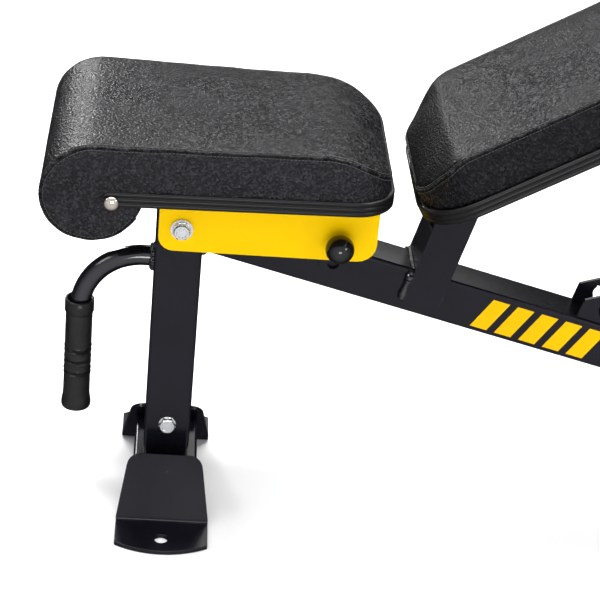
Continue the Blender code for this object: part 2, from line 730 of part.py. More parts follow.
def make_wheel(name, side, x0, looks):
    """A wheel between two ears behind the rear foot, just clear of the floor until the bench tips."""
    axis_x, axis_z = x0 + WHEEL_BEHIND, WHEEL_RADIUS + WHEEL_CLEARANCE
    centre = side * WHEEL_Y
    inner = WHEEL_WIDTH / 2 + 0.0015
    outer = inner + EAR_THICK
    ear = [(x0, EAR_Z[0]), (x0, EAR_Z[1]), (axis_x, axis_z + EAR_RADIUS)]
    ear += arc((axis_x, axis_z), EAR_RADIUS, pi / 3, -pi / 2, 8)
    ear_mesh = prism("wheel_bracket_" + name, ear, centre - outer, centre - inner)
    bracket = add("wheel_bracket_" + name, ear_mesh, looks["black"])
    second = prism("wheel_ear_" + name, ear, centre + inner, centre + outer)
    reach = inner + 0.001
    near = (x0, centre - reach, EAR_Z[0])
    web = box("wheel_web_" + name, near, (x0 + EAR_THICK, centre + reach, EAR_Z[1]))
    boolean(bracket, cutter("wheel_web_" + name, web), "UNION")
    boolean(bracket, cutter("wheel_ear_" + name, second), "UNION")
    at = (axis_x, centre, axis_z)
    boolean(bracket, cross_hole("wheel_hole_" + name, at, AXLE_RADIUS + GAP))

    length = 2 * outer + 0.007
    profile = [
        (AXLE_RADIUS - 0.0008, -length),
        (AXLE_RADIUS, -length + 0.0008),
        (AXLE_RADIUS, 0.0),
        (0.0075, 0.0),
        (0.0075, 0.0012),
        (0.0060, 0.0038),
        (0.0030, 0.0050),
    ]
    mesh = turned("wheel_axle_" + name, profile)
    axle = add("wheel_axle_" + name, mesh, looks["zinc"], smooth=True)
    point_along(axle, (axis_x, centre + side * (outer + GAP), axis_z), Y * side)

    half, rim, bore = WHEEL_WIDTH / 2, WHEEL_RADIUS, AXLE_RADIUS + GAP
    profile = [
        (bore, -half),
        (0.011, -half),
        (0.013, -half + 0.003),
        (rim - 0.010, -half + 0.003),
        (rim - 0.007, -half),
        (rim, -half + 0.004),
        (rim, half - 0.004),
        (rim - 0.007, half),
        (rim - 0.010, half - 0.003),
        (0.013, half - 0.003),
        (0.011, half),
        (bore, half),
    ]
    mesh = turned("wheel_" + name, profile, ring=True, steps=24)
    wheel = add("wheel_" + name, mesh, looks["rubber"], smooth=True)
    point_along(wheel, at, Y)


# ---------------------------------------------------------------- seat


def seat_half(x):
    """Half the seat's width at x: it narrows evenly to the rear."""
    share = (x - ROLL_CENTRE[0]) / (SEAT_REAR_X - ROLL_CENTRE[0])
    return SEAT_HALF_FRONT + share * (SEAT_HALF_REAR - SEAT_HALF_FRONT)


def seat_plan(front_x, inset):
    """The seat's outline from above: square at the front, rounded at the rear."""
    rear, corner = SEAT_REAR_X - inset, SEAT_REAR_CORNER - inset
    half_front, half_rear = seat_half(front_x) - inset, seat_half(rear) - inset
    return rounded(
        [
            (front_x, -half_front, 0),
            (rear, -half_rear, corner),
            (rear, half_rear, corner),
            (front_x, half_front, 0),
        ],
        steps=6,
    )


def make_seat_base(seat, looks):
    """Side plates on the pivot bolt, joined by a plate under the board. Heights are above the pivot."""
    low = SIDE_PLATE_BOTTOM - SEAT_PIVOT.z
    high = SIDE_PLATE_TOP - SEAT_PIVOT.z
    front, rear = SIDE_PLATE_FRONT_X, SIDE_PLATE_REAR_X
    outline = rounded([(front, low, 0.016), (rear, low, 0.020), (rear, high, 0), (front, high, 0)])
    y0, y1 = SIDE_PLATE_IN, SIDE_PLATE_IN + SIDE_PLATE_THICK
    for name, side in (("seat_side_plate_left", -1), ("seat_side_plate_right", 1)):
        mesh = prism(name, outline, *sorted((side * y0, side * y1)))
        plate = add(name, mesh, looks["yellow"], seat)
        at = (0, side * y0, 0)
        boolean(plate, cross_hole(name + "_hole", at, BOLT_RADIUS + GAP, 0.03, parent=seat))
        if side < 0:
            at = (PIN.x, side * y0, PIN.z)
            boolean(plate, cross_hole("pin_plate_hole", at, PIN_NOSE_RADIUS + 0.0005, 0.03, parent=seat))
    base = SEAT_BASE_Z - SEAT_PIVOT.z - GAP
    low_corner = (front, -TOP_PLATE_HALF, base - TOP_PLATE_THICK)
    mesh = box("seat_top_plate", low_corner, (rear, TOP_PLATE_HALF, base))
    add("seat_top_plate", mesh, looks["black"], seat)


def make_seat_pad(seat, looks):
    """Board, padding and edge strip. The padding runs forward and down round a thick front roll."""
    lift = -SEAT_PIVOT.z
    inset = TRIM_THICK + GAP
    board_top = SEAT_BASE_Z + BOARD_THICK
    board_front = ROLL_CENTRE[0] + sqrt(ROLL_RADIUS**2 - (ROLL_CENTRE[1] - SEAT_BASE_Z) ** 2) + 0.001
    plan = seat_plan(board_front, inset)
    mesh = prism("seat_board", plan, SEAT_BASE_Z + lift, board_top + lift, along="Z")
    add("seat_board", mesh, looks["wood"], seat)

    profile = [(board_front - GAP, board_top + GAP)]
    profile += arc(ROLL_CENTRE, ROLL_RADIUS, ROLL_END_ANGLE, -3 * pi / 2, 22)
    profile += [
        (0.150, SEAT_TOP_Z + 0.0005),
        (0.168, SEAT_TOP_Z - 0.004),
        (0.196, 0.434),
        (SEAT_REAR_X - inset, board_top + 0.006),
        (SEAT_REAR_X - inset, board_top + GAP),
    ]
    profile = [(x, z + lift) for x, z in profile]
    pad = add("seat_pad", prism("seat_pad", profile, -0.14, 0.14), looks["vinyl"], seat)
    shape = prism("seat_pad_plan", seat_plan(-0.16, inset), -0.1, 0.2, along="Z")
    boolean(pad, cutter("seat_pad_plan", shape, seat), "INTERSECT")

    outer, inner = seat_plan(TRIM_FRONT_X, 0), seat_plan(TRIM_FRONT_X, TRIM_THICK)
    strip = outer + inner[::-1]
    heights = (SEAT_BASE_Z + lift, SEAT_BASE_Z + TRIM_HEIGHT + lift)
    add("seat_trim", prism("seat_trim", strip, *heights, along="Z"), looks["trim"], seat)
    for name, side in (("left", -1), ("right", 1)):
        mesh = turned("seat_trim_screw_" + name, TRIM_SCREW_DOME)
        screw = add("seat_trim_screw_" + name, mesh, looks["chrome"], seat, smooth=True)
        out = side * (seat_half(TRIM_SCREW_X) + 2 * GAP)
        at = (TRIM_SCREW_X, out, SEAT_BASE_Z + TRIM_SCREW_RISE + lift)
        point_along(screw, at, Y * side)


def make_seat_pivot(looks):
    outer = SIDE_PLATE_IN + SIDE_PLATE_THICK + GAP
    ring = washer("seat_pivot_washer", WASHER_RADIUS, WASHER_THICK, looks["zinc"])
    point_along(ring, SEAT_PIVOT - Y * outer, -Y)
    under_head = outer + WASHER_THICK + GAP
    bolt = hex_bolt("seat_pivot_bolt", 2 * outer + WASHER_THICK + BOLT_TAIL, looks["zinc"])
    point_along(bolt, SEAT_PIVOT - Y * under_head, -Y)
    nut = hex_nut("seat_pivot_nut", looks["zinc"])
    point_along(nut, SEAT_PIVOT + Y * outer, Y)
    inner = TUBE / 2 + GAP
    for name, side in (("left", -1), ("right", 1)):
        length = SIDE_PLATE_IN - inner - GAP
        bush = washer("seat_pivot_bush_" + name, BUSH_RADIUS, length, looks["nylon"])
        point_along(bush, SEAT_PIVOT + Y * side * inner, Y * side)


def make_seat_pin(seat, looks):
    """A spring pull pin through the left side plate. Its housing goes up inside a hollow ball knob."""
    face = SIDE_PLATE_IN + SIDE_PLATE_THICK + GAP
    end_wall = HOUSING_END - 0.0012
    profile = [
        (0.0090, face),
        (0.0090, face + 0.0015),
        (HOUSING_RADIUS, face + 0.0015),
        (HOUSING_RADIUS, HOUSING_END),
        (PIN_ROD_RADIUS + GAP, HOUSING_END),
        (PIN_ROD_RADIUS + GAP, end_wall),
        (HOUSING_BORE, end_wall),
        (HOUSING_BORE, face),
    ]
    mesh = turned("seat_pin_housing", profile, ring=True)
    housing = add("seat_pin_housing", mesh, looks["black"], seat, smooth=True)
    point_along(housing, PIN, -Y)

    axis = frame("seat_pin_axis", PIN, parent=seat)
    tip, rod_end = TUBE / 2 + 0.0006, -KNOB_Y + 0.008
    profile = [
        (PIN_NOSE_RADIUS - 0.0008, tip),
        (PIN_NOSE_RADIUS, tip + 0.001),
        (PIN_NOSE_RADIUS, PIN_NOSE_END),
        (PIN_ROD_RADIUS, PIN_NOSE_END),
        (PIN_ROD_RADIUS, rod_end),
    ]
    pin = add("seat_pin", turned("seat_pin", profile), looks["zinc"], axis, smooth=True)
    point_along(pin, (0, 0, 0), -Y)

    bore = PIN_ROD_RADIUS + GAP
    start = asin(KNOB_CAVITY / KNOB_RADIUS)
    steps = 10
    ball = [start + (pi - start) * k / steps for k in range(steps)]
    cavity = HOUSING_END + 0.0006
    profile = [(bore, rod_end + GAP), (bore, cavity), (KNOB_CAVITY, cavity)]
    profile += [(KNOB_RADIUS * sin(a), -KNOB_Y - KNOB_RADIUS * cos(a)) for a in ball]
    profile.append((0.001, -KNOB_Y + KNOB_RADIUS))
    mesh = turned("seat_pin_knob", profile)
    knob = add("seat_pin_knob", mesh, looks["plastic"], axis, smooth=True)
    point_along(knob, (0, 0, 0), -Y)
    make_pin_spring(axis, PIN_NOSE_END + GAP, end_wall - GAP, looks)


def make_pin_spring(axis, low, high, looks):
    """A compression spring on the pin, between its nose and the housing's end."""
    turns, per_turn, wire, radius = 5, 12, 0.0004, 0.0042
    curve = bpy.data.curves.new("seat_pin_spring", "CURVE")
    curve.dimensions = "3D"
    curve.bevel_depth = wire
    curve.bevel_resolution = 0
    curve.use_fill_caps = True
    count = turns * per_turn
    spline = curve.splines.new("POLY")
    spline.points.add(count)
    for k, point in enumerate(spline.points):
        angle = 2 * pi * k / per_turn
        depth = low + wire + (high - low - 2 * wire) * k / count
        point.co = (radius * cos(angle), -depth, radius * sin(angle), 1)
    spring = bpy.data.objects.new("seat_pin_spring", curve)
    curve.materials.append(looks["steel"])
    spring.parent = axis
    bpy.context.collection.objects.link(spring)


# ---------------------------------------------------------------- backrest and strut


def make_back_frame(back, looks):
    """A beam along the backrest with a sleeve for the hinge bolt, and two plates for the board."""
    size = (BEAM_WIDTH, BEAM_HEIGHT)
    mesh = hollow_tube("back_beam", (BEAM_FRONT_U, 0, 0), (BEAM_REAR_U, 0, 0), Y, size)
    beam = add("back_beam", mesh, looks["black"], back)
    boolean(beam, cross_hole("beam_hinge_hole", (0, 0, 0), SLEEVE_RADIUS + GAP, parent=back))
    strut_hole = cross_hole("beam_strut_hole", (STRUT_U, 0, 0), BOLT_RADIUS + GAP, parent=back)
    boolean(beam, strut_hole)
    half = TUBE / 2
    bore = BOLT_RADIUS + GAP
    profile = [(SLEEVE_RADIUS, -half), (SLEEVE_RADIUS, half), (bore, half), (bore, -half)]
    mesh = turned("hinge_sleeve", profile, ring=True)
    sleeve = add("hinge_sleeve", mesh, looks["black"], back, smooth=True)
    point_along(sleeve, (0, 0, 0), Y)
    low, high = BEAM_HEIGHT / 2 + GAP, BACK_BOARD_V - GAP
    for name, u in zip(("back_mount_front", "back_mount_rear"), MOUNT_U):
        along, across = MOUNT_HALF
        mesh = box(name, (u - along, -across, low), (u + along, across, high))
        add(name, mesh, looks["black"], back)


def back_plan(inset):
    """The backrest's outline from above, with tighter corners at the seat end."""
    front, rear = BACK_FRONT_U + inset, BACK_FRONT_U + BACK_LENGTH - inset
    half = BACK_HALF - inset
    near, far = BACK_FRONT_CORNER - inset, BACK_HEAD_CORNER - inset
    corners = [(front, -half, near), (rear, -half, far), (rear, half, far), (front, half, near)]
    return rounded(corners, steps=8)


def make_back_pad(back, looks):
    inset = TRIM_THICK + GAP
    low = BACK_BOARD_V
    board_top, pad_top = low + BOARD_THICK, low + BACK_THICK
    mesh = prism("back_board", back_plan(inset), low, board_top, along="Z")
    add("back_board", mesh, looks["wood"], back)

    front, rear = BACK_FRONT_U + inset, BACK_FRONT_U + BACK_LENGTH - inset
    base = board_top + GAP
    profile = [
        (front, base),
        (rear, base),
        (rear, low + 0.030),
        (rear - 0.010, pad_top - 0.012),
        (rear - 0.034, pad_top),
        (front + 0.062, pad_top),
        (front + 0.046, pad_top - 0.005),
        (front + 0.014, low + 0.032),
        (front, low + 0.018),
    ]
    pad = add("back_pad", prism("back_pad", profile, -0.14, 0.14), looks["vinyl"], back)
    shape = prism("back_pad_plan", back_plan(inset), 0, 0.2, along="Z")
    boolean(pad, cutter("back_pad_plan", shape, back), "INTERSECT")

    outer, inner = back_plan(0), back_plan(TRIM_THICK)
    top = low + TRIM_HEIGHT
    rims = ((outer, low), (outer, top), (inner, top), (inner, low))
    loops = [[(u, y, v) for u, y in loop] for loop, v in rims]
    add("back_trim", loft("back_trim", loops, ring=True), looks["trim"], back)


def make_strut(back, strut, looks):
    """Two arms on a bolt through the beam, a brace between them and the foot bar at their ends."""
    y0, y1 = STRUT_Y
    half = STRUT_WIDTH / 2
    outline = arc((0, 0), half, pi / 2, 3 * pi / 2, 8) + arc((STRUT_LENGTH, 0), half, -pi / 2, pi / 2, 8)
    for name, side in (("strut_arm_left", -1), ("strut_arm_right", 1)):
        arm = add(name, prism(name, outline, *sorted((side * y0, side * y1))), looks["black"], strut)
        at = (0, side * y0, 0)
        boolean(arm, cross_hole(name + "_pivot", at, BOLT_RADIUS + GAP, 0.03, parent=strut))
        at = (STRUT_LENGTH, side * y0, 0)
        boolean(arm, cross_hole(name + "_bar", at, FOOT_BAR_RADIUS + GAP, 0.03, parent=strut))
    reach = y1 + 0.006
    profile = [
        (FOOT_BAR_RADIUS - 0.001, -reach),
        (FOOT_BAR_RADIUS, -reach + 0.001),
        (FOOT_BAR_RADIUS, reach - 0.001),
        (FOOT_BAR_RADIUS - 0.001, reach),
    ]
    bar = add("strut_foot_bar", turned("strut_foot_bar", profile), looks["zinc"], strut, smooth=True)
    point_along(bar, (STRUT_LENGTH, 0, 0), Y)
    reach = y0 - GAP
    mesh = turned("strut_brace", [(BRACE_RADIUS, -reach), (BRACE_RADIUS, reach)])
    brace = add("strut_brace", mesh, looks["black"], strut, smooth=True)
    point_along(brace, (STRUT_LENGTH * BRACE_SHARE, 0, 0), Y)

    outer = y1 + GAP
    bolt = hex_bolt("strut_pivot_bolt", 2 * outer + BOLT_TAIL, looks["zinc"])
    bolt.parent = back
    point_along(bolt, (STRUT_U, -outer, 0), -Y)
    nut = hex_nut("strut_pivot_nut", looks["zinc"])
    nut.parent = back
    point_along(nut, (STRUT_U, outer, 0), Y)


def main():
    clear_scene()
    looks = make_looks()
    make_front_post(looks)
    make_lower_bolt(looks)
    make_front_foot(looks)
    make_handle(looks)
    make_spine(looks)

    spine = frame("spine_frame", (0, 0, SPINE_TOP_Z), -SPINE_SLOPE)
    hinge_s = sum(BRACKET_S) / 2
    make_hinge_bracket(spine, hinge_s, looks)
    make_index_plate(looks)
    make_ladder(spine, hinge_s, looks)
    make_rear_foot(looks)

    seat = frame("seat_pivot", SEAT_PIVOT)
    make_seat_base(seat, looks)
    make_seat_pad(seat, looks)
    make_seat_pivot(looks)
    make_seat_pin(seat, looks)

    hinge = Vector(
        (
            hinge_s * cos(SPINE_SLOPE) + HINGE_N * sin(SPINE_SLOPE),
            0,
            SPINE_TOP_Z - hinge_s * sin(SPINE_SLOPE) + HINGE_N * cos(SPINE_SLOPE),
        )
    )
    back = frame("backrest_pivot", hinge, BACK_ANGLE)
    make_back_frame(back, looks)
    make_back_pad(back, looks)
    lean = STRUT_FLAT_ANGLE + STRUT_RATIO * BACK_ANGLE
    strut = frame("strut_pivot", (STRUT_U, 0, 0), -lean, back)
    make_strut(back, strut, looks)


main()
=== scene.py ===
"""The looks of an adjustable weight bench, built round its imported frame.

Metres, +Z up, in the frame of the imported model: x runs to the rear and left is the -Y side.
"""

import json
from math import asin, cos, pi, radians, sin, sqrt

import bmesh
import bpy
import numpy as np
from mathutils import Matrix, Vector, noise
from mathutils.bvhtree import BVHTree
from mathutils.kdtree import KDTree


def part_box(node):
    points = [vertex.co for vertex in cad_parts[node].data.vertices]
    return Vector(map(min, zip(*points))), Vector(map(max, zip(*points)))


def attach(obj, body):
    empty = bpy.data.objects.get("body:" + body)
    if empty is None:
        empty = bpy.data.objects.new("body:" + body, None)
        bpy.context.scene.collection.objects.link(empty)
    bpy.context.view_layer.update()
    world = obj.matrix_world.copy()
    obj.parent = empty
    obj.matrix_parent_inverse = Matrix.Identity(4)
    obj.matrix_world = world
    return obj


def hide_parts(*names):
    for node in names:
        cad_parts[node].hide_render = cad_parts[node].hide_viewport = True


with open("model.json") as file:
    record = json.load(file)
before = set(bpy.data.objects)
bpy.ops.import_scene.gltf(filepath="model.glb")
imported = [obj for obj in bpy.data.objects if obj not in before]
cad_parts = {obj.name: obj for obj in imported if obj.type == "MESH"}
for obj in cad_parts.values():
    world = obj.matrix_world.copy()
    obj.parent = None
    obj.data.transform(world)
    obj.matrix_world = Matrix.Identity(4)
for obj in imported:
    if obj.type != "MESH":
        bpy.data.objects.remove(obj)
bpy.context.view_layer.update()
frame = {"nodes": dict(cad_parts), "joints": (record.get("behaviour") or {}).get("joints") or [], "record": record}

NODES = frame["nodes"]
BODIES = frame["record"]["behaviour"]["bodies"]
BODY_OF = {node: body for body, nodes in BODIES.items() for node in nodes}
SLOT_OF = {row["node"]: row["material_slot"] for row in frame["record"]["subparts"]}
Y, Z = Vector((0, 1, 0)), Vector((0, 0, 1))

# Seat padding, along x and z
ROLL_CENTRE = (-0.0895, 0.4085)
ROLL_RADIUS = 0.0530
ROLL_UNDER = -0.28
ROLL_SEAM_UNDER = -0.45
SEAT_TOP = 0.4605
SEAT_FALL = 0.145
SEAT_REAR = 0.2112
SEAT_SEAM_REAR = 0.429
SEAT_CORNER = 0.042
SEAT_HALF_FRONT = 0.1195
SEAT_HALF_REAR = 0.107
STRIP_FRONT = -0.0800
STRIP_THICK = 0.0030
STRIP_HEIGHT = 0.0160

# Backrest padding, along u (up the board) and v (out of the board) from the hinge
HINGE = Vector(next(j["pos_m"] for j in frame["joints"] if j["name"] == "backrest_hinge"))
BACK_ANGLE = radians(30.3)
BACK_FRONT = -0.038
BACK_REAR = 0.752
BACK_HALF = 0.1205
BACK_BOARD = 0.0256
BACK_THICK = 0.064
BACK_FRONT_CORNER = 0.060
BACK_HEAD_CORNER = 0.060
BACK_FRONT_SEAM = 0.031
BACK_TAPER = 0.046
BACK_CROWN = 0.0035
BACK_SLOPE = 0.058
BACK_HEAD = 0.070
BACK_HEAD_DROP = 0.037
BACK_CORNER_PULL = 0.009

# Both cushions: the form is made smaller by SHRINK, and pressure swells it by up to SWELL
SHRINK = 0.0014
SWELL = 0.0020
WELT_LIFT, WELT_RADIUS = 0.0005, 0.0015
STITCH_ROWS = (-0.0030, 0.0030)

# Spine, along s (down its top face to the rear) and n (out of it)
SPINE_TOP = Vector((0, 0, 0.363))
SPINE_SLOPE = radians(14.5)
TUBE_HALF = 0.025


def back_matrix():
    return Matrix.Translation(HINGE) @ Matrix.Rotation(-BACK_ANGLE, 4, "Y")


def on_spine(s, y, n):
    return SPINE_TOP + Vector(
        (s * cos(SPINE_SLOPE) + n * sin(SPINE_SLOPE), y, n * cos(SPINE_SLOPE) - s * sin(SPINE_SLOPE))
    )


# ---------------------------------------------------------------- materials


def new_material(name, colour, roughness, metallic=0.0):
    """A material, its node tree and its Principled shader."""
    made = bpy.data.materials.new(name)
    made.use_nodes = True
    tree = made.node_tree
    shader = tree.nodes["Principled BSDF"]
    shader.inputs["Base Color"].default_value = (*colour, 1)
    shader.inputs["Roughness"].default_value = roughness
    shader.inputs["Metallic"].default_value = metallic
    return made, tree, shader


def texture(tree, kind, scale, stretch=(1, 1, 1), **settings):
    """A procedural texture in the piece's own coordinates, in cells to the metre."""
    coordinates = tree.nodes.new("ShaderNodeTexCoord")
    mapping = tree.nodes.new("ShaderNodeMapping")
    mapping.inputs["Scale"].default_value = stretch
    made = tree.nodes.new(kind)
    made.inputs["Scale"].default_value = scale
    for key, value in settings.items():
        if hasattr(made, key):
            setattr(made, key, value)
        else:
            made.inputs[key.replace("_", " ").title()].default_value = value
    tree.links.new(coordinates.outputs["Object"], mapping.inputs["Vector"])
    tree.links.new(mapping.outputs["Vector"], made.inputs["Vector"])
    return made


def ramp(tree, source, low, high, start=0.0, end=1.0):
    """Maps a texture's value between two colours or greys."""
    made = tree.nodes.new("ShaderNodeValToRGB")
    first, last = made.color_ramp.elements
    first.position, last.position = start, end
    first.color = (*low, 1) if isinstance(low, tuple) else (low, low, low, 1)
    last.color = (*high, 1) if isinstance(high, tuple) else (high, high, high, 1)
    tree.links.new(source, made.inputs["Fac"])
    return made.outputs["Color"]


def bump(tree, shader, heights):
    """Chains bumps onto the shader, from (height output, strength, distance)."""
    normal = None
    for height, strength, distance in heights:
        made = tree.nodes.new("ShaderNodeBump")
        made.inputs["Strength"].default_value = strength
        made.inputs["Distance"].default_value = distance
        tree.links.new(height, made.inputs["Height"])
        if normal:
            tree.links.new(normal, made.inputs["Normal"])
        normal = made.outputs["Normal"]
    tree.links.new(normal, shader.inputs["Normal"])


def powder_coat(name, dark, light, roughness, shine, peel=0.12):
    """Powder coat: a faint orange peel, uneven gloss and a little colour drift."""
    made, tree, shader = new_material(name, light, roughness)
    shader.inputs["Specular IOR Level"].default_value = shine
    drift = texture(tree, "ShaderNodeTexNoise", 14, detail=3)
    fine = texture(tree, "ShaderNodeTexNoise", 900, detail=2)
    tree.links.new(ramp(tree, drift.outputs["Fac"], dark, light, 0.3, 0.7), shader.inputs["Base Color"])
    gloss = ramp(tree, drift.outputs["Fac"], roughness * 0.85, roughness * 1.2, 0.25, 0.75)
    tree.links.new(gloss, shader.inputs["Roughness"])
    bump(tree, shader, [(fine.outputs["Fac"], peel, 0.0004)])
    return made


def vinyl(name, grain, depth, shade, gleam, roughness, shine, glints_from=0.40, blue=1.05):
    """Embossed vinyl: small hollows with ridges between them; pale cells in its colour are painted glints,
    standing in for the grain's sparkle.
    """
    made, tree, shader = new_material(name, (shade, shade, shade), roughness)
    shader.inputs["Specular IOR Level"].default_value = shine
    cells = texture(tree, "ShaderNodeTexVoronoi", grain, feature="SMOOTH_F1")
    fine = texture(tree, "ShaderNodeTexNoise", grain * 1.3, detail=3)
    broad = texture(tree, "ShaderNodeTexNoise", 9, detail=2)
    pebbles = texture(tree, "ShaderNodeTexVoronoi", grain)
    # Painted glints: the pale cells stand in for the sparkle of the grain under the lamps.
    dull, glint_colour = (shade, shade, shade * blue), (gleam, gleam, gleam * blue)
    tint = ramp(tree, pebbles.outputs["Color"], dull, glint_colour, glints_from, 0.95)
    tree.links.new(tint, shader.inputs["Base Color"])
    gloss = ramp(tree, broad.outputs["Fac"], roughness - 0.05, roughness + 0.06, 0.3, 0.7)
    tree.links.new(gloss, shader.inputs["Roughness"])
    bump(tree, shader, [(cells.outputs["Distance"], depth, 0.0014), (fine.outputs["Fac"], depth, 0.0012)])
    return made


def rubber(name, shade, roughness, grain=1200):
    made, tree, shader = new_material(name, (shade, shade, shade * 1.08), roughness)
    shader.inputs["Specular IOR Level"].default_value = 0.25
    spots = texture(tree, "ShaderNodeTexNoise", grain, detail=3)
    broad = texture(tree, "ShaderNodeTexNoise", 60, detail=3)
    tint = ramp(tree, broad.outputs["Fac"], shade * 0.7, shade * 1.5, 0.3, 0.75)
    tree.links.new(tint, shader.inputs["Base Color"])
    bump(tree, shader, [(spots.outputs["Fac"], 0.25, 0.0003)])
    return made


def ribbed_plastic(name, shade):
    made, tree, shader = new_material(name, (shade, shade, shade), 0.30)
    shader.inputs["Specular IOR Level"].default_value = 0.22
    drag = texture(tree, "ShaderNodeTexNoise", 500, stretch=(0.1, 0.1, 1.0), detail=2)
    tint = ramp(tree, drag.outputs["Fac"], shade * 0.8, shade * 1.4)
    tree.links.new(tint, shader.inputs["Base Color"])
    bump(tree, shader, [(drag.outputs["Fac"], 0.15, 0.0003)])
    return made


def plated(name, colour, roughness, grain=700):
    """Plated metal: fine uneven gloss and a slight mottle."""
    made, tree, shader = new_material(name, colour, roughness, 1.0)
    mottle = texture(tree, "ShaderNodeTexNoise", grain, detail=4)
    dark = tuple(c * 0.82 for c in colour)
    tree.links.new(ramp(tree, mottle.outputs["Fac"], dark, colour, 0.3, 0.6), shader.inputs["Base Color"])
    gloss = ramp(tree, mottle.outputs["Fac"], roughness * 0.7, roughness * 1.5, 0.3, 0.7)
    tree.links.new(gloss, shader.inputs["Roughness"])
    bump(tree, shader, [(mottle.outputs["Fac"], 0.12, 0.0002)])
    return made


def gloss_plastic(name, shade):
    made, tree, shader = new_material(name, (shade, shade, shade), 0.09)
    swirl = texture(tree, "ShaderNodeTexNoise", 120, detail=2)
    tree.links.new(ramp(tree, swirl.outputs["Fac"], 0.06, 0.13), shader.inputs["Roughness"])
    bump(tree, shader, [(swirl.outputs["Fac"], 0.03, 0.0002)])
    return made


def stained_ply(name):
    """Plywood dyed dark, with its grain along x."""
    made, tree, shader = new_material(name, (0.03, 0.026, 0.022), 0.7)
    grain = texture(tree, "ShaderNodeTexNoise", 260, stretch=(0.06, 1.0, 1.0), detail=6)
    tint = ramp(tree, grain.outputs["Fac"], (0.012, 0.010, 0.009), (0.06, 0.05, 0.042), 0.3, 0.72)
    tree.links.new(tint, shader.inputs["Base Color"])
    bump(tree, shader, [(grain.outputs["Fac"], 0.3, 0.0004)])
    return made


def pale_floor(name):
    made, tree, shader = new_material(name, (0.9, 0.9, 0.9), 0.85)
    shader.inputs["Specular IOR Level"].default_value = 0.1
    cloudy = texture(tree, "ShaderNodeTexNoise", 3, detail=2)
    tint = ramp(tree, cloudy.outputs["Fac"], (0.90, 0.90, 0.90), (0.94, 0.94, 0.935))
    tree.links.new(tint, shader.inputs["Base Color"])
    return made


# Each paint drifts between a darker and a lighter colour
BLACKS = (0.0030, 0.0030, 0.0055), (0.0048, 0.0046, 0.0090)
GLOSS_BLACKS = (0.003, 0.003, 0.004), (0.006, 0.006, 0.008)
YELLOWS = (0.74, 0.455, 0.0), (0.77, 0.475, 0.0)
STENCIL_YELLOWS = (0.70, 0.40, 0.0), (0.74, 0.425, 0.0)


def make_looks():
    return {
        "frame_paint": powder_coat("black_powder_coat", *BLACKS, 0.23, 0.25),
        "yellow_paint": powder_coat("yellow_powder_coat", *YELLOWS, 0.35, 0.03),
        "stripe_paint": powder_coat("yellow_stencil_paint", *STENCIL_YELLOWS, 0.4, 0.05),
        "vinyl": vinyl("top_vinyl", 370, 0.85, 0.0020, 0.030, 0.28, 0.13),
        "side_vinyl": vinyl("side_vinyl", 480, 0.95, 0.0050, 0.026, 0.26, 0.22, 0.48, 1.20),
        # Painted shade: a darker copy of the side vinyl, with fewer painted glints, for the backrest's sides.
        "back_side_shaded_vinyl": vinyl("back_side_shaded_vinyl", 480, 0.85, 0.0025, 0.017, 0.28, 0.13, 0.52, 1.20),
        # Painted shade: a smoother, darker copy of the top vinyl with few painted glints, for the backrest's front
        # slope.
        "stretched_shaded_vinyl": vinyl("stretched_shaded_vinyl", 420, 0.40, 0.0015, 0.008, 0.34, 0.06),
        "handle_paint": powder_coat("gloss_powder_coat", *GLOSS_BLACKS, 0.10, 0.80),
        "edge_trim": ribbed_plastic("edge_strip_plastic", 0.005),
        "thread": ribbed_plastic("black_thread", 0.045),
        "rubber": rubber("black_rubber", 0.012, 0.62),
        "grip": rubber("grip_rubber", 0.009, 0.28, 700),
        "knob_plastic": gloss_plastic("black_ball_plastic", 0.006),
        "zinc": plated("zinc_plate", (0.80, 0.80, 0.79), 0.24),
        "chrome": plated("warm_chrome", (0.70, 0.60, 0.52), 0.05, 200),
        "spring_steel": plated("spring_wire", (0.5, 0.5, 0.52), 0.3),
        "nylon": rubber("natural_nylon", 0.6, 0.5),
        "board": stained_ply("stained_plywood"),
    }


# ---------------------------------------------------------------- meshes


def piece(name, mesh, look, body, smooth_angle=40):
    """A visible piece riding on a body. A smooth_angle of 0 keeps the mesh's own shading."""
    obj = bpy.data.objects.new(name, mesh)
    bpy.context.collection.objects.link(obj)
    mesh.materials.append(look)
    if smooth_angle:
        mesh.shade_smooth()
        mesh.set_sharp_from_angle(angle=radians(smooth_angle))
    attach(obj, body)
    return obj


def mesh_from(name, bm):
    bmesh.ops.recalc_face_normals(bm, faces=bm.faces)
    mesh = bpy.data.meshes.new(name)
    bm.to_mesh(mesh)
    bm.free()
    return mesh


def loft_into(bm, loops, closed=False):
    """Skins loops of equally many points; a closed loft joins its last loop to its first."""
    rows = [[bm.verts.new(point) for point in loop] for loop in loops]
    pairs = list(zip(rows, rows[1:])) + ([(rows[-1], rows[0])] if closed else [])
    for low, high in pairs:
        for i in range(len(low)):
            j = (i + 1) % len(low)
            bm.faces.new((low[i], low[j], high[j], high[i]))
    if not closed:
        bm.faces.new(rows[0][::-1])
        bm.faces.new(rows[-1])


def loft(name, loops, closed=False):
    bm = bmesh.new()
    loft_into(bm, loops, closed)
    return mesh_from(name, bm)


def turned(name, profile, place, axis, steps=64, closed=False):
    """A turned piece; stations are (radius, height) or (half flats, height, True) for a hexagon."""
    turn = Z.rotation_difference(Vector(axis)).to_matrix()
    loops = []
    for radius, height, *hexagon in profile:
        loop = []
        for k in range(steps):
            angle = 2 * pi * k / steps
            reach = radius / cos((angle % (pi / 3)) - pi / 6) if hexagon else radius
            loop.append(Vector(place) + turn @ Vector((reach * cos(angle), reach * sin(angle), height)))
        loops.append(loop)
    return loft(name, loops, closed)


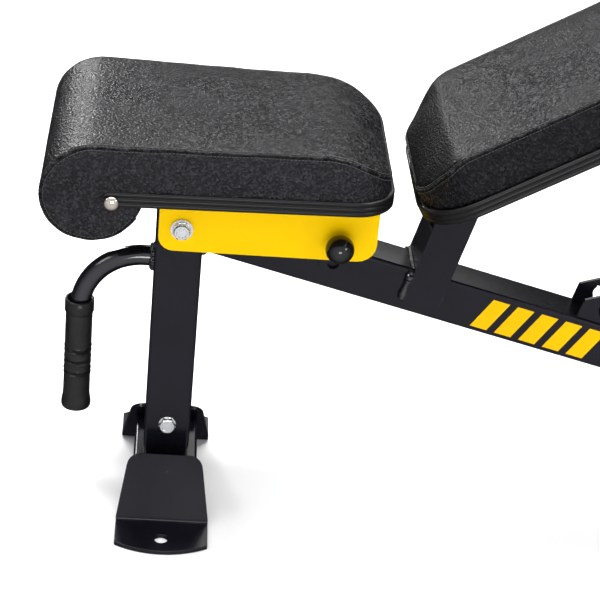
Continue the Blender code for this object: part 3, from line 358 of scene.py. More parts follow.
def modified(name, mesh, *modifiers):
    """The mesh after modifiers, each given as (type, settings)."""
    obj = bpy.data.objects.new(name, mesh)
    bpy.context.collection.objects.link(obj)
    for kind, settings in modifiers:
        modifier = obj.modifiers.new(kind.title(), kind)
        for key, value in settings.items():
            setattr(modifier, key, value)
    graph = bpy.context.evaluated_depsgraph_get()
    made = bpy.data.meshes.new_from_object(obj.evaluated_get(graph), depsgraph=graph)
    bpy.data.objects.remove(obj)
    return made


def finished(node, look, width=0.0009):
    """A copy of a sharp-edged CAD node with its edges eased, as sheet and tube have."""
    source = NODES[node].data
    bm = bmesh.new()
    verts = [bm.verts.new(v.co) for v in source.vertices]
    for polygon in source.polygons:
        bm.faces.new([verts[i] for i in polygon.vertices])
    bmesh.ops.remove_doubles(bm, verts=bm.verts, dist=1e-6)
    bmesh.ops.dissolve_limit(bm, angle_limit=radians(0.6), verts=bm.verts, edges=bm.edges)
    mesh = mesh_from(node + "_finished", bm)
    easing = {"width": width, "segments": 2, "limit_method": "ANGLE", "angle_limit": radians(40)}
    mesh = modified(node, mesh, ("BEVEL", easing))
    mesh.shade_smooth()
    mesh.set_sharp_from_angle(angle=radians(50))
    mesh = modified(node, mesh, ("WEIGHTED_NORMAL", {"keep_sharp": True}))
    made = piece(node + "_finished", mesh, look, BODY_OF[node], 0)
    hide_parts(node)
    return made


def arc(centre, radius, start, end, steps):
    turn = (end - start) / steps
    return [
        (centre[0] + radius * cos(start + k * turn), centre[1] + radius * sin(start + k * turn))
        for k in range(steps + 1)
    ]


def rounded(corners, steps=6):
    """An outline from (x, y, radius) corners, each rounded by an arc of that radius."""
    points = []
    for k, (x, y, radius) in enumerate(corners):
        here = Vector((x, y))
        if radius == 0:
            points.append((x, y))
            continue
        before = (Vector(corners[k - 1][:2]) - here).normalized()
        after = (Vector(corners[(k + 1) % len(corners)][:2]) - here).normalized()
        half = before.angle(after) / 2
        centre = here + (before + after).normalized() * radius / sin(half)
        reach = here + before * radius * cos(half) / sin(half) - centre
        turn = (pi - 2 * half) / steps * (1 if before.cross(after) < 0 else -1)
        for i in range(steps + 1):
            swung = Matrix.Rotation(i * turn, 2) @ reach
            points.append((centre.x + swung.x, centre.y + swung.y))
    return points


def spaced(points, step):
    """The polyline's points again, evenly spaced."""
    points = [Vector(p) for p in points]
    lengths = [0.0]
    for a, b in zip(points, points[1:]):
        lengths.append(lengths[-1] + (b - a).length)
    count = max(2, round(lengths[-1] / step))
    made, k = [], 0
    for i in range(count + 1):
        want = lengths[-1] * i / count
        while k < len(points) - 2 and lengths[k + 1] < want:
            k += 1
        share = (want - lengths[k]) / max(lengths[k + 1] - lengths[k], 1e-9)
        made.append(points[k].lerp(points[k + 1], share))
    return made


# ---------------------------------------------------------------- padding


def prism_mesh(name, outline, low, high, along):
    """An outline stretched along Y (outline in XZ) or Z (outline in XY)."""
    place = (lambda a, b, c: (a, c, b)) if along == "Y" else (lambda a, b, c: (a, b, c))
    return loft(name, [[place(a, b, end) for a, b in outline] for end in (low, high)])


def padding(name, profile, plan, heights, voxel, base, cap):
    """A cushion's mesh: profile and plan cut each other, then pressure swells the cover by up to cap.
    """
    form = prism_mesh(name + "_form", profile, -0.15, 0.15, "Y")
    trim = bpy.data.objects.new(name + "_plan", prism_mesh(name + "_plan", plan, *heights, "Z"))
    bpy.context.collection.objects.link(trim)
    cut = {"object": trim, "operation": "INTERSECT", "solver": "EXACT"}
    mesh = modified(name, form, ("BOOLEAN", cut), ("REMESH", {"mode": "VOXEL", "voxel_size": voxel}))
    bpy.data.objects.remove(trim)
    mesh = swollen(name, mesh, base, cap)
    return modified(name, mesh, ("SMOOTH", {"factor": 0.35, "iterations": 1}), ("SUBSURF", {"levels": 1}))


def swollen(name, mesh, base, cap):
    """The mesh swollen by cloth pressure, with what lies within 1 mm of base pinned."""
    obj = bpy.data.objects.new(name + "_cloth", mesh)
    bpy.context.collection.objects.link(obj)
    held = obj.vertex_groups.new(name="held")
    held.add([v.index for v in mesh.vertices if v.co.z < base + 0.001], 1.0, "REPLACE")
    before = [v.co.copy() for v in mesh.vertices]
    cloth = obj.modifiers.new("Cloth", "CLOTH")
    cloth.settings.use_pressure = True
    cloth.settings.uniform_pressure_force = 4
    cloth.settings.effector_weights.gravity = 0
    cloth.settings.vertex_group_mass = "held"
    cloth.settings.quality = 4
    scene = bpy.context.scene
    for step in range(1, 21):
        scene.frame_set(step)
    graph = bpy.context.evaluated_depsgraph_get()
    made = bpy.data.meshes.new_from_object(obj.evaluated_get(graph), depsgraph=graph)
    moves = []
    for vertex, start in zip(made.vertices, before):
        move = vertex.co - start
        moves.append(move.normalized() * min(move.length, cap))
    for vertex, start, move in zip(made.vertices, before, evened(made, np.array(moves), 60)):
        vertex.co = start + Vector(move)
    bpy.data.objects.remove(obj)
    scene.frame_set(1)
    return made


def evened(mesh, moves, rounds):
    """Shares each vertex's move with its neighbours, round after round, to even the swelling."""
    ends = np.empty(len(mesh.edges) * 2, dtype=np.int32)
    mesh.edges.foreach_get("vertices", ends)
    first, second = ends[0::2], ends[1::2]
    valence = np.bincount(ends, minlength=len(moves))[:, None]
    for _ in range(rounds):
        around = np.zeros_like(moves)
        for axis in range(3):
            around[:, axis] += np.bincount(first, moves[second, axis], len(moves))
            around[:, axis] += np.bincount(second, moves[first, axis], len(moves))
        moves = (moves + around / valence) / 2
    return moves


def tree_of(mesh):
    return BVHTree.FromPolygons([v.co for v in mesh.vertices], [p.vertices for p in mesh.polygons])


def draw_in(mesh, seam, reach, depth):
    """Draws the cover in by depth along a seam, fading to nothing at reach."""
    near = KDTree(len(seam))
    for k, point in enumerate(seam):
        near.insert(point, k)
    near.balance()
    normals = [v.normal.copy() for v in mesh.vertices]
    for vertex, normal in zip(mesh.vertices, normals):
        _, _, distance = near.find(vertex.co)
        if distance < reach:
            share = 1 - (distance / reach) ** 2
            vertex.co -= normal * depth * share * share


def unevenness(mesh, size, depth, base):
    """Slow hills and hollows in the cover, fading out at the board."""
    normals = [v.normal.copy() for v in mesh.vertices]
    for vertex, normal in zip(mesh.vertices, normals):
        fade = min(1.0, max(0.0, (vertex.co.z - base) / 0.02))
        vertex.co += normal * depth * fade * noise.noise(vertex.co / size)


def settle(seam, tree):
    """Lays a seam's points on the cover; returns (point, normal) pairs."""
    laid = []
    for point in seam:
        at, normal, _, _ = tree.find_nearest(point)
        laid.append((at, normal))
    smooth = []
    for k in range(len(laid)):
        span = laid[max(0, k - 2) : k + 3]
        at = sum((p for p, _ in span), Vector()) / len(span)
        normal = sum((n for _, n in span), Vector()).normalized()
        smooth.append((at, normal))
    return smooth


def tube_along(bm, points, radius, sides=8, closed=False):
    """A tube through points; radius is a number or a function of the point's index."""
    count = len(points)
    loops, side = [], None
    for k, point in enumerate(points):
        if closed:
            run = points[(k + 1) % count] - points[k - 1]
        else:
            run = points[min(k + 1, count - 1)] - points[max(k - 1, 0)]
        run = run.normalized()
        side = run.orthogonal().normalized() if side is None else (side - run * side.dot(run)).normalized()
        up = run.cross(side)
        reach = radius(k) if callable(radius) else radius
        loops.append(
            [
                point + (side * cos(2 * pi * i / sides) + up * sin(2 * pi * i / sides)) * reach
                for i in range(sides)
            ]
        )
    loft_into(bm, loops, closed)


def welt(name, seam, lift, radius, look, body, closed=False):
    """A folded seam standing a little proud of the cover."""
    bm = bmesh.new()
    tube_along(bm, [at + normal * lift for at, normal in seam], radius, 8, closed)
    return piece(name, mesh_from(name, bm), look, body, 80)


def stitches(name, seam, tree, offsets, look, body):
    """Rows of thread beside a seam, each stitch dipping into the cover at both ends."""
    pitch, length, radius = 0.0036, 0.0026, 0.00042
    bm = bmesh.new()
    for offset in offsets:
        row = []
        for k, (at, normal) in enumerate(seam):
            run = seam[min(k + 1, len(seam) - 1)][0] - seam[max(k - 1, 0)][0]
            across = run.cross(normal).normalized()
            row.append(tree.find_nearest(at + across * offset)[0])
        row = spaced(row, pitch)
        for a, b in zip(row, row[1:]):
            if (b - a).length < pitch * 0.5:
                continue
            middle, half = (a + b) / 2, (b - a).normalized() * length / 2
            normal = tree.find_nearest(middle)[1]
            shares = (-1, -0.5, 0, 0.5, 1)
            points = [middle + half * t + normal * radius * (0.9 - 1.3 * t * t) for t in shares]
            tube_along(bm, points, radius, 5)
    return piece(name, mesh_from(name, bm), look, body, 80)


def two_grains(mesh, is_side, side_look):
    """Gives the faces that is_side picks the finer grain of the side panels."""
    mesh.materials.append(side_look)
    for polygon in mesh.polygons:
        if is_side(polygon.center, polygon.normal):
            polygon.material_index = 1


# ---------------------------------------------------------------- seat


def seat_half(x, inset=0.0):
    share = (x - ROLL_CENTRE[0]) / (SEAT_REAR - ROLL_CENTRE[0])
    return SEAT_HALF_FRONT + share * (SEAT_HALF_REAR - SEAT_HALF_FRONT) - inset


def seat_plan(front, inset, steps=8):
    rear, corner = SEAT_REAR - inset, SEAT_CORNER - inset
    half_front, half_rear = seat_half(front, inset), seat_half(rear, inset)
    near = [(front, -half_front, 0), (rear, -half_rear, corner)]
    far = [(rear, half_rear, corner), (front, half_front, 0)]
    return rounded(near + far, steps)


def seat_top(x):
    """The height of the seat's top: flat, then a rounded fall to the rear seam."""
    if x < SEAT_FALL:
        return SEAT_TOP
    share = (x - SEAT_FALL) / (SEAT_REAR - SEAT_FALL)
    return SEAT_TOP - (SEAT_TOP - SEAT_SEAM_REAR) * share**1.75


def make_seat(looks):
    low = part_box("seat_pad")[0]
    board_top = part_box("seat_board")[1].z
    base = board_top + 0.0004
    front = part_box("seat_board")[0].x
    profile = [(front, base)]
    profile += arc(ROLL_CENTRE, ROLL_RADIUS - SHRINK, ROLL_UNDER, -3 * pi / 2, 40)
    stations = (SEAT_FALL, 0.158, 0.170, 0.181, 0.191, 0.200, SEAT_REAR - SHRINK)
    profile += [(x, seat_top(x) - SHRINK) for x in stations]
    profile.append((SEAT_REAR - SHRINK, base))
    plan = seat_plan(low.x - 0.02, SHRINK)
    mesh = padding("seat_cushion", profile, plan, (0.3, 0.5), 0.0034, base, SWELL)
    unevenness(mesh, 0.055, 0.0007, base)

    side = [(x, z) for x, z in arc(ROLL_CENTRE, ROLL_RADIUS, ROLL_SEAM_UNDER, -3 * pi / 2, 60)]
    left = [Vector((x, -seat_half(x), z)) for x, z in side]
    plan = spaced([Vector((*p, 0)) for p in seat_plan(ROLL_CENTRE[0], 0, 16)], 0.004)
    over = [Vector((p.x, p.y, seat_top(p.x))) for p in plan]
    right = [Vector((p.x, -p.y, p.z)) for p in reversed(left)]
    seam = spaced(left[:-1] + over + right[1:], 0.003)
    draw_in(mesh, [at for at, _ in settle(seam, tree_of(mesh))], 0.0045, 0.0013)
    tree = tree_of(mesh)
    laid = settle(seam, tree)

    def is_side(centre, normal):
        if centre.x < 0.150:
            return abs(normal.y) > 0.7
        return abs(normal.z) < 0.62 and centre.z < seat_top(min(centre.x, SEAT_REAR)) + 0.001

    mesh.materials.append(looks["vinyl"])
    two_grains(mesh, is_side, looks["side_vinyl"])
    cushion = bpy.data.objects.new("seat_cushion", mesh)
    bpy.context.collection.objects.link(cushion)
    mesh.shade_smooth()
    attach(cushion, "seat")
    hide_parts("seat_pad")
    welt("seat_seam_welt", laid, WELT_LIFT, WELT_RADIUS, looks["vinyl"], "seat")
    stitches("seat_stitching", laid, tree, STITCH_ROWS, looks["thread"], "seat")
    make_seat_strip(looks)


def strip_section():
    """The edge strip's section as (out, up): three ribs with grooves between them."""
    ribs = 3
    rise = STRIP_HEIGHT / ribs
    section = [(0.0, 0.0)]
    for k in range(ribs):
        low = k * rise
        section += [
            (0.0021, low + 0.0004),
            (0.0028, low + 0.0010),
            (STRIP_THICK, low + rise * 0.5),
            (0.0028, low + rise - 0.0010),
            (0.0021, low + rise - 0.0004),
        ]
    return section + [(0.0, STRIP_HEIGHT)]


def swept_strip(name, path, ends, place, look, body, node):
    """Sweeps the strip's section along a plan path. Open ends close in a rounded nose."""
    section = strip_section()
    count = len(path)
    nose = STRIP_HEIGHT / 2
    loops, walked = [], 0.0
    total = sum((b - a).length for a, b in zip(path, path[1:]))
    for k, point in enumerate(path):
        if k:
            walked += (point - path[k - 1]).length
        if ends:
            run = path[min(k + 1, count - 1)] - path[max(k - 1, 0)]
            reach = min(walked, total - walked)
            size = sqrt(max(0.0, 1 - (1 - min(reach / nose, 1.0)) ** 2))
            size = max(size, 0.12)
        else:
            run = path[(k + 1) % count] - path[k - 1]
            size = 1.0
        outward = Vector((run.y, -run.x, 0)).normalized()
        loops.append(
            [place(point + outward * (out - STRIP_THICK), nose + (up - nose) * size) for out, up in section]
        )
    made = piece(name, loft(name, loops, closed=not ends), look, body, 50)
    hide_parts(node)
    return made


def make_seat_strip(looks):
    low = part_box("seat_trim")[0].z
    wide = STRIP_THICK * 0.5
    outline = seat_plan(STRIP_FRONT, -wide, 14)
    path = spaced([Vector((*p, 0)) for p in outline], 0.003)
    swept_strip(
        "seat_edge_strip",
        path,
        True,
        lambda p, up: Vector((p.x, p.y, low + up)),
        looks["edge_trim"],
        "seat",
        "seat_trim",
    )
    for name, side in (("left", -1), ("right", 1)):
        node = "seat_trim_screw_" + name
        box_low, box_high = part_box(node)
        middle = (box_low + box_high) / 2
        base = Vector((middle.x, box_low.y if side > 0 else box_high.y, middle.z))
        radius, rise = (box_high.x - box_low.x) / 2, box_high.y - box_low.y
        profile = [(radius, 0.0)]
        angles = [pi / 2 * k / 12 for k in range(12)]
        profile += [(radius * cos(a), rise * (0.12 + 0.88 * sin(a))) for a in angles]
        profile.append((0.0004, rise))
        mesh = turned(node + "_dome", profile, base, Y * side)
        made = piece(node + "_dome", mesh, looks["chrome"], "seat", 60)
        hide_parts(node)


# ---------------------------------------------------------------- backrest


def back_plan(inset, steps=10):
    front, rear, half = BACK_FRONT + inset, BACK_REAR - inset, BACK_HALF - inset
    near, far = BACK_FRONT_CORNER - inset, BACK_HEAD_CORNER - inset
    corners = [(front, -half, near), (rear, -half, far), (rear, half, far), (front, half, near)]
    return rounded(corners, steps)


def back_top(u):
    """How far the cover's top stands off the hinge line: a sloping front, a flat, a rounded head."""
    seam, top = BACK_BOARD + BACK_FRONT_SEAM, BACK_BOARD + BACK_THICK
    slope_end, head_start = BACK_FRONT + BACK_SLOPE, BACK_REAR - BACK_HEAD
    if u < slope_end:
        share = (slope_end - u) / (slope_end - BACK_FRONT)
        return top - (top - seam) * share**1.05
    if u > head_start:
        share = min((u - head_start) / (BACK_REAR - head_start), 1.0)
        return top - BACK_HEAD_DROP * share**2.2
    return top


def back_pulled_in(point, base):
    """The padding narrows towards its top, and its top falls away a little at the sides."""
    share = min(max((point.z - base) / (BACK_BOARD + BACK_THICK - base), 0.0), 1.0)
    crown = BACK_CROWN * min(abs(point.y) / BACK_HALF, 1.0) ** 6
    moved = Vector((point.x, point.y * (1 - BACK_TAPER * share**1.3), point.z - crown * share))
    corner_x = BACK_FRONT + BACK_FRONT_CORNER
    corner_y = BACK_HALF - BACK_FRONT_CORNER
    out = Vector((corner_x - point.x, abs(point.y) - corner_y))
    if out.x > 0 and out.y > 0:
        turned_in = 2 * out.x * out.y / out.length_squared
        outwards = min(out.length / BACK_FRONT_CORNER, 1.0) ** 2
        pull = BACK_CORNER_PULL * turned_in**2 * outwards * min(share * 2.2, 1.0)
        out.normalize()
        moved.x += out.x * pull
        moved.y -= out.y * pull * (1 if point.y > 0 else -1)
    return moved


def make_back(looks):
    place = back_matrix()
    base = BACK_BOARD + 0.0124
    front, rear = BACK_FRONT + SHRINK + STRIP_THICK * 0.5, BACK_REAR - SHRINK - STRIP_THICK * 0.5
    stations = [BACK_FRONT + d for d in (0.010, 0.022, 0.034, 0.046, 0.054, 0.060)]
    stations += [BACK_REAR - d for d in (BACK_HEAD, 0.056, 0.042, 0.030, 0.018, 0.008)]
    profile = [(front, base), (front, back_top(front) - SHRINK)]
    profile += [(u, back_top(u) - SHRINK) for u in stations]
    profile += [(rear, back_top(rear) - SHRINK), (rear, base)]
    plan = back_plan(SHRINK + STRIP_THICK * 0.5)
    mesh = padding("back_cushion", profile, plan, (0.0, 0.2), 0.0042, base, SWELL)
    for vertex in mesh.vertices:
        vertex.co = back_pulled_in(vertex.co, base)
    unevenness(mesh, 0.07, 0.0008, base)

    corners = [Vector((*p, 0)) for p in back_plan(0.0012, 16)]
    outline = spaced(corners + corners[:1], 0.004)
    seam = [back_pulled_in(Vector((p.x, p.y, back_top(p.x) - 0.0006)), base) for p in outline[:-1]]
    draw_in(mesh, [at for at, _ in settle(seam, tree_of(mesh))], 0.0050, 0.0014)
    tree = tree_of(mesh)
    laid = settle(seam, tree)

    def is_side(centre, normal):
        return normal.z < 0.62 and centre.z < back_top(centre.x) + 0.001

    mesh.materials.append(looks["vinyl"])
    two_grains(mesh, is_side, looks["back_side_shaded_vinyl"])
    # The front slope's faces take the stretched vinyl, whose darker colour is painted shade.
    mesh.materials.append(looks["stretched_shaded_vinyl"])
    front_end, tilt = BACK_FRONT + BACK_FRONT_CORNER, -0.24
    for face in mesh.polygons:
        if face.material_index == 0 and face.normal.x < tilt and face.center.x < front_end:
            face.material_index = 2
    cushion = bpy.data.objects.new("back_cushion", mesh)
    bpy.context.collection.objects.link(cushion)
    mesh.shade_smooth()
    mesh.transform(place)
    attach(cushion, "backrest")
    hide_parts("back_pad")
    folded = welt("back_seam_welt", laid, WELT_LIFT, WELT_RADIUS, looks["vinyl"], "backrest", True)
    folded.data.transform(place)
    threads = stitches("back_stitching", laid, tree, STITCH_ROWS, looks["thread"], "backrest")
    threads.data.transform(place)

    path = spaced([Vector((*p, 0)) for p in back_plan(-STRIP_THICK * 0.5, 14)], 0.004)
    swept_strip(
        "back_edge_strip",
        path,
        False,
        lambda p, up: place @ Vector((p.x, p.y, BACK_BOARD + up)),
        looks["edge_trim"],
        "backrest",
        "back_trim",
    )


# ---------------------------------------------------------------- hardware


def hex_bolt(node, look):
    """A CAD bolt again with a finer washer face, chamfered hexagon and thread end."""
    low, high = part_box(node)
    size = high - low
    along = max(range(3), key=lambda i: size[i])
    axis = Vector((0, 0, 0))
    axis[along] = -1.0
    middle = (low + high) / 2
    tip = middle.copy()
    tip[along] = low[along]
    length, flange = size[along], min(size[(along + 1) % 3], size[(along + 2) % 3]) / 2
    head, flats, shank = 0.0065, 0.01625, 0.005
    grip = length - head
    profile = [(shank * 0.75, -grip), (shank, -grip + 0.0012)]
    for k in range(7):
        profile += [(shank, -grip + 0.0016 + k * 0.001), (shank * 0.9, -grip + 0.0021 + k * 0.001)]
    profile += [
        (shank, -grip + 0.0090),
        (shank, 0.0),
        (flange, 0.0),
        (flange, 0.0006),
        (flange - 0.0004, 0.0009),
        (flats / 2, 0.0010, True),
        (flats / 2, head * 0.80, True),
        (flats / 2 * 1.02, head * 0.86),
        (flats / 2 * 0.93, head),
        (flats / 2 * 0.70, head),
        (flats / 2 * 0.66, head - 0.0003),
        (0.0005, head - 0.0003),
    ]
    start = tip.copy()
    start[along] = low[along] + head
    mesh = turned(node + "_detailed", profile, start, axis, 60)
    made = piece(node + "_detailed", mesh, look, BODY_OF[node], 25)
    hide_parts(node)


def ball_knob(looks):
    node = "seat_pin_knob"
    low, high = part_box(node)
    radius = (high.x - low.x) / 2
    centre = Vector(((low.x + high.x) / 2, low.y + radius, (low.z + high.z) / 2))
    opening, bore = 0.0074, 0.0033
    start = asin(opening / radius)
    steps = 40
    ball = [start + (pi - start) * k / steps for k in range(steps)]
    profile = [(bore, 0.0075), (bore, 0.0), (opening, 0.0)]
    profile += [(radius * sin(a), -radius * cos(a)) for a in ball]
    profile.append((0.0002, radius))
    mesh = turned(node + "_ball", profile, centre, -Y, 96)
    made = piece(node + "_ball", mesh, looks["knob_plastic"], "seat_pin", 50)
    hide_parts(node)


def moulded_grip(looks):
    """The handle's grip: a mouth round the tube, fine rings, three deep grooves and a flared end."""
    node = "handle_grip"
    low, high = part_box(node)
    middle = Vector(((low.x + high.x) / 2, 0, 0))
    top, bottom, bore, mouth, body = high.z, low.z, 0.0113, 0.0130, 0.0146
    profile = [(bore, bottom + 0.0045), (bore, top - 0.013), (mouth, top - 0.012), (mouth, top - 0.0006)]
    profile += [(mouth + 0.0006, top), (0.0152, top), (0.0158, top - 0.0006), (0.0158, top - 0.0140)]
    profile += [(0.0154, top - 0.0150), (body + 0.0002, top - 0.0156)]
    grooves = (0.168, 0.154, 0.140)
    steps = 78
    start, end = top - 0.0165, 0.112
    for k in range(steps + 1):
        z = start + (end - start) * k / steps
        away = min(abs(z - g) for g in grooves)
        ring = 0.00014 * (k % 2)
        dip = 0.0026 * max(0.0, 1 - (away / 0.0017) ** 2)
        collar = 0.0007 * max(0.0, 1 - abs(away - 0.0030) / 0.0014)
        profile.append((body + collar - dip - ring, z))
    flare = [(0.0148, 0.109), (0.0154, 0.1055), (0.0160, 0.102), (0.0162, 0.099)]
    profile += flare + [(0.0161, 0.0965), (0.0154, 0.0945), (0.0138, bottom + 0.0002), (0.004, bottom)]
    mesh = turned(node + "_moulded", profile, middle, Z, 72)
    made = piece(node + "_moulded", mesh, looks["grip"], "root", 60)
    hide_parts(node)


def bent_handle(looks):
    """The handle's tube, swept smoothly round its bend."""
    node = "handle_tube"
    low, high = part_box(node)
    radius, bend = (high.y - low.y) / 2, 0.066
    leg, height = low.x + radius, high.z - radius
    centre = (leg + bend, height - bend)
    route = [(high.x, height)] + arc(centre, bend, pi / 2, pi, 40) + [(leg, low.z)]
    bm = bmesh.new()
    tube_along(bm, [Vector((x, 0, z)) for x, z in route], radius - 0.00005, 40)
    mesh = mesh_from("handle_tube_bent", bm)
    made = piece("handle_tube_bent", mesh, looks["handle_paint"], "root", 60)
    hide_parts(node)


def tyres(looks):
    for side in ("left", "right"):
        node = "wheel_" + side
        low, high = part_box(node)
        middle, half, rim = (low + high) / 2, (high.y - low.y) / 2, (high.x - low.x) / 2
        profile = [(0.0043, -half), (0.0100, -half), (0.0112, -half + 0.001), (0.0120, -half + 0.0035)]
        profile += [(rim - 0.0105, -half + 0.0035), (rim - 0.0095, -half + 0.001), (rim - 0.0085, -half)]
        edge = 0.0045
        angles = [pi / 2 * k / 6 for k in range(7)]
        profile += [(rim - edge + edge * sin(a), -half + edge - edge * cos(a)) for a in angles]
        side_wall = list(profile)
        for k in range(5):
            at = -half + 0.0062 + k * (2 * half - 0.0124) / 4
            profile += [(rim, at - 0.0007), (rim - 0.0007, at), (rim, at + 0.0007)]
        profile += [(r, -h) for r, h in reversed(side_wall)]
        mesh = turned(node + "_treaded", profile, middle, Y, 80, closed=True)
        made = piece(node + "_treaded", mesh, looks["rubber"], node, 40)
        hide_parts(node)


def weld(name, route, radius, looks, body="root"):
    """A weld bead: overlapping ripples along a joint."""
    step, ripple = 0.0007, 0.0034
    points = spaced(route, step)

    def swell(k):
        rippled = 0.78 + 0.30 * abs(sin(k * step / ripple * pi))
        return radius * (rippled + 0.40 * noise.noise(points[k] * 210))

    bm = bmesh.new()
    tube_along(bm, points, swell, 10)
    made = piece(name, mesh_from(name, bm), looks["handle_paint"], body, 80)
    return made


def make_welds(looks):
    proud = 0.0006
    out = TUBE_HALF + proud
    handle_radius, reach = 0.011, 0.0116
    ring_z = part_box("handle_tube")[1].z - handle_radius
    ring = [
        Vector((-out, reach * cos(a), ring_z + reach * sin(a)))
        for a in (2 * pi * k / 48 for k in range(49))
    ]
    weld("handle_weld", ring, 0.0038, looks)

    for name, side in (("left", -1), ("right", 1)):
        y = side * out
        front = [on_spine(0.2557, y, n) for n in (-0.036, -0.001)]
        weld("bracket_front_weld_" + name, front, 0.0050, looks)
        rear = [on_spine(0.2976, y, n) for n in (-0.036, -0.001)]
        weld("bracket_rear_weld_" + name, rear, 0.0016, looks)
    weld("bracket_web_weld", [on_spine(0.2566, y, 0.0008) for y in (-0.024, 0.024)], 0.0030, looks)

    top = on_spine(out / cos(SPINE_SLOPE), 0, 0).z
    for name, side in (("left", -1), ("right", 1)):
        y = side * (TUBE_HALF - 0.0012)
        down = [Vector((out, y, top - 0.001)), Vector((out, y, top - 0.0505))]
        weld("spine_front_weld_" + name, down, 0.0019, looks)
    under = top - 0.0530
    weld("spine_under_weld", [Vector((out, y, under)) for y in (-0.023, 0.023)], 0.0044, looks)
    weld("spine_over_weld", [Vector((out, y, top + 0.0004)) for y in (-0.022, 0.022)], 0.0020, looks)

    tube_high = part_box("front_foot_tube")[1]
    for name, side in (("left", -1), ("right", 1)):
        at = side * (tube_high.y - 0.0255)
        over = [Vector((x, at, tube_high.z + proud)) for x in (-0.033, 0.033)]
        weld("foot_weld_" + name, over, 0.0022, looks)


def spine_stripes(looks):
    """Slanting bars on the spine's two side faces."""
    height, lean, bar, pitch, count = 0.037, 0.013, 0.019, 0.028, 5
    first, foot = 0.338, -0.0440
    for name, side in (("left", -1), ("right", 1)):
        bm = bmesh.new()
        for k in range(count):
            start = first + k * pitch
            corners = [
                (start, foot),
                (start + bar, foot),
                (start + bar + lean, foot + height),
                (start + lean, foot + height),
            ]
            inner = [on_spine(s, side * (TUBE_HALF + 0.00002), n) for s, n in corners]
            outer = [on_spine(s, side * (TUBE_HALF + 0.00015), n) for s, n in corners]
            loft_into(bm, [inner, outer])
        mesh = mesh_from("spine_stripes_" + name, bm)
        piece("spine_stripes_" + name, mesh, looks["stripe_paint"], "root")


# How wide the eased edges of each sharp-edged CAD node are
FINISHED = {
    "front_post": 0.0007,
    "post_stub": 0.0005,
    "front_foot_tube": 0.0006,
    "foot_plate_left": 0.0010,
    "foot_plate_right": 0.0010,
    "spine_tube": 0.0006,
    "hinge_bracket": 0.0007,
    "seat_index_plate": 0.0006,
    "ladder_plate_left": 0.0005,
    "ladder_plate_right": 0.0005,
    "spine_end_plate": 0.0007,
    "rear_foot_tube": 0.0006,
    "seat_side_plate_left": 0.0007,
    "seat_side_plate_right": 0.0007,
    "seat_top_plate": 0.0005,
    "back_beam": 0.0006,
    "back_mount_front": 0.0007,
    "back_mount_rear": 0.0007,
    "strut_arm_left": 0.0008,
    "strut_arm_right": 0.0008,
    "rear_foot_cap_left": 0.0020,
    "rear_foot_cap_right": 0.0020,
    "wheel_bracket_left": 0.0005,
    "wheel_bracket_right": 0.0005,
}
BOLTS = ("lower_bolt", "hinge_bolt", "seat_pivot_bolt", "strut_pivot_bolt")
BOLTS += ("rear_bolt_left", "rear_bolt_right")


def make_hardware(looks):
    for node, width in FINISHED.items():
        finished(node, looks[SLOT_OF[node]], width)
    for node in BOLTS:
        hex_bolt(node, looks["zinc"])
    ball_knob(looks)
    moulded_grip(looks)
    bent_handle(looks)
    tyres(looks)
    make_welds(looks)
    spine_stripes(looks)


def paint_nodes(looks):
    for node, obj in NODES.items():
        look = looks[SLOT_OF[node]]
        if not obj.material_slots:
            obj.data.materials.append(look)
        for material_slot in obj.material_slots:
            material_slot.material = look


# ---------------------------------------------------------------- studio


def make_camera():
    camera = bpy.data.objects.new("camera", bpy.data.cameras.new("camera"))
    bpy.context.collection.objects.link(camera)
    camera.data.lens = 118.06
    camera.data.sensor_width = 36
    yaw, down, roll = radians(-4.87), radians(28.52), radians(5.69)
    forward = Vector((-sin(yaw) * cos(down), cos(yaw) * cos(down), -sin(down)))
    right = Vector((cos(yaw), sin(yaw), 0))
    up = right.cross(forward)
    side = right * cos(roll) + up * sin(roll)
    top = up * cos(roll) - right * sin(roll)
    turn = Matrix((side, top, -forward)).transposed().to_4x4()
    camera.matrix_world = Matrix.Translation((-0.0239, -1.8523, 1.2510)) @ turn
    bpy.context.scene.camera = camera


def area_light(name, place, target, size, power, colour=(1, 1, 1)):
    light = bpy.data.lights.new(name, "AREA")
    light.shape = "RECTANGLE"
    light.size, light.size_y = size
    light.energy = power
    light.color = colour
    obj = bpy.data.objects.new(name, light)
    bpy.context.collection.objects.link(obj)
    obj.location = place
    obj.rotation_euler = (Vector(target) - Vector(place)).to_track_quat("-Z", "Y").to_euler()


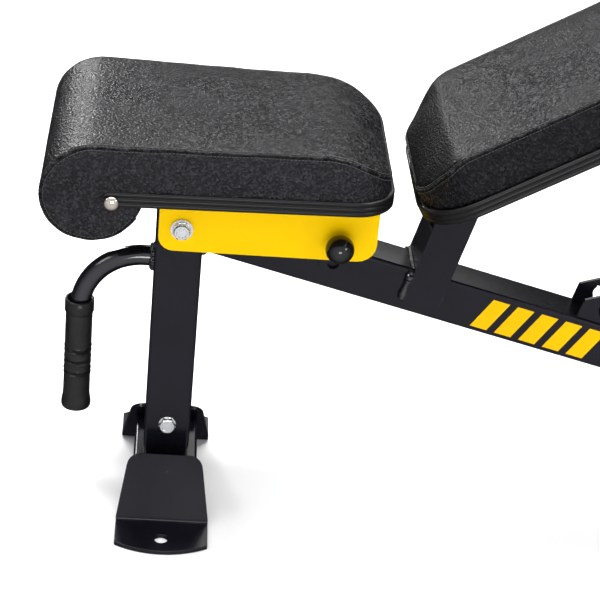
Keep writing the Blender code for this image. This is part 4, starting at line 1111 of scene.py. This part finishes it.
def make_studio():
    half = 8.0
    bm = bmesh.new()
    corners = ((-half, -half, 0), (half, -half, 0), (half, half, 0), (-half, half, 0))
    bm.faces.new([bm.verts.new(p) for p in corners])
    floor = bpy.data.objects.new("floor", mesh_from("floor", bm))
    bpy.context.collection.objects.link(floor)
    floor.data.materials.append(pale_floor("pale_floor"))
    floor.visible_glossy = False

    world = bpy.data.worlds.new("studio")
    world.use_nodes = True
    tree = world.node_tree
    background = tree.nodes["Background"]
    background.inputs["Color"].default_value = (0.93, 0.95, 1.0, 1)
    coordinates = tree.nodes.new("ShaderNodeTexCoord")
    split = tree.nodes.new("ShaderNodeSeparateXYZ")
    fall = tree.nodes.new("ShaderNodeMapRange")
    # Bright on the camera's side of the bench and dark behind it
    for socket, value in (("From Min", -0.85), ("From Max", 0.05), ("To Min", 0.92), ("To Max", 0.035)):
        fall.inputs[socket].default_value = value
    tree.links.new(coordinates.outputs["Generated"], split.inputs["Vector"])
    tree.links.new(split.outputs["Y"], fall.inputs["Value"])
    tree.links.new(fall.outputs["Result"], background.inputs["Strength"])
    bpy.context.scene.world = world
    area_light("overhead", (0.3, 0.1, 2.6), (0.3, 0.1, 0.3), (3.4, 2.6), 120)
    area_light("behind_left", (-0.96, 2.45, 1.20), (0.0, 0.0, 0.43), (0.42, 0.8), 30)
    area_light("behind_top", (0.75, 2.60, 1.75), (0.3, 0.0, 0.43), (1.6, 0.6), 12)
    area_light("front_left", (-2.2, -0.6, 1.9), (0.1, 0.0, 0.4), (1.0, 0.8), 8)
    area_light("camera_side", (2.3, -1.9, 1.6), (0.3, 0.0, 0.3), (0.8, 0.6), 12)
    area_light("front_box", (0.15, -2.4, 0.38), (0.1, 0.0, 0.36), (0.9, 0.5), 14)
    area_light("overhead_strip", (0.1, 0.35, 2.3), (0.1, 0.2, 0.0), (2.6, 0.30), 60)
    bpy.context.scene.view_settings.view_transform = "Standard"


def main():
    looks = make_looks()
    make_camera()
    make_studio()
    paint_nodes(looks)
    make_hardware(looks)
    make_seat(looks)
    make_back(looks)


main()
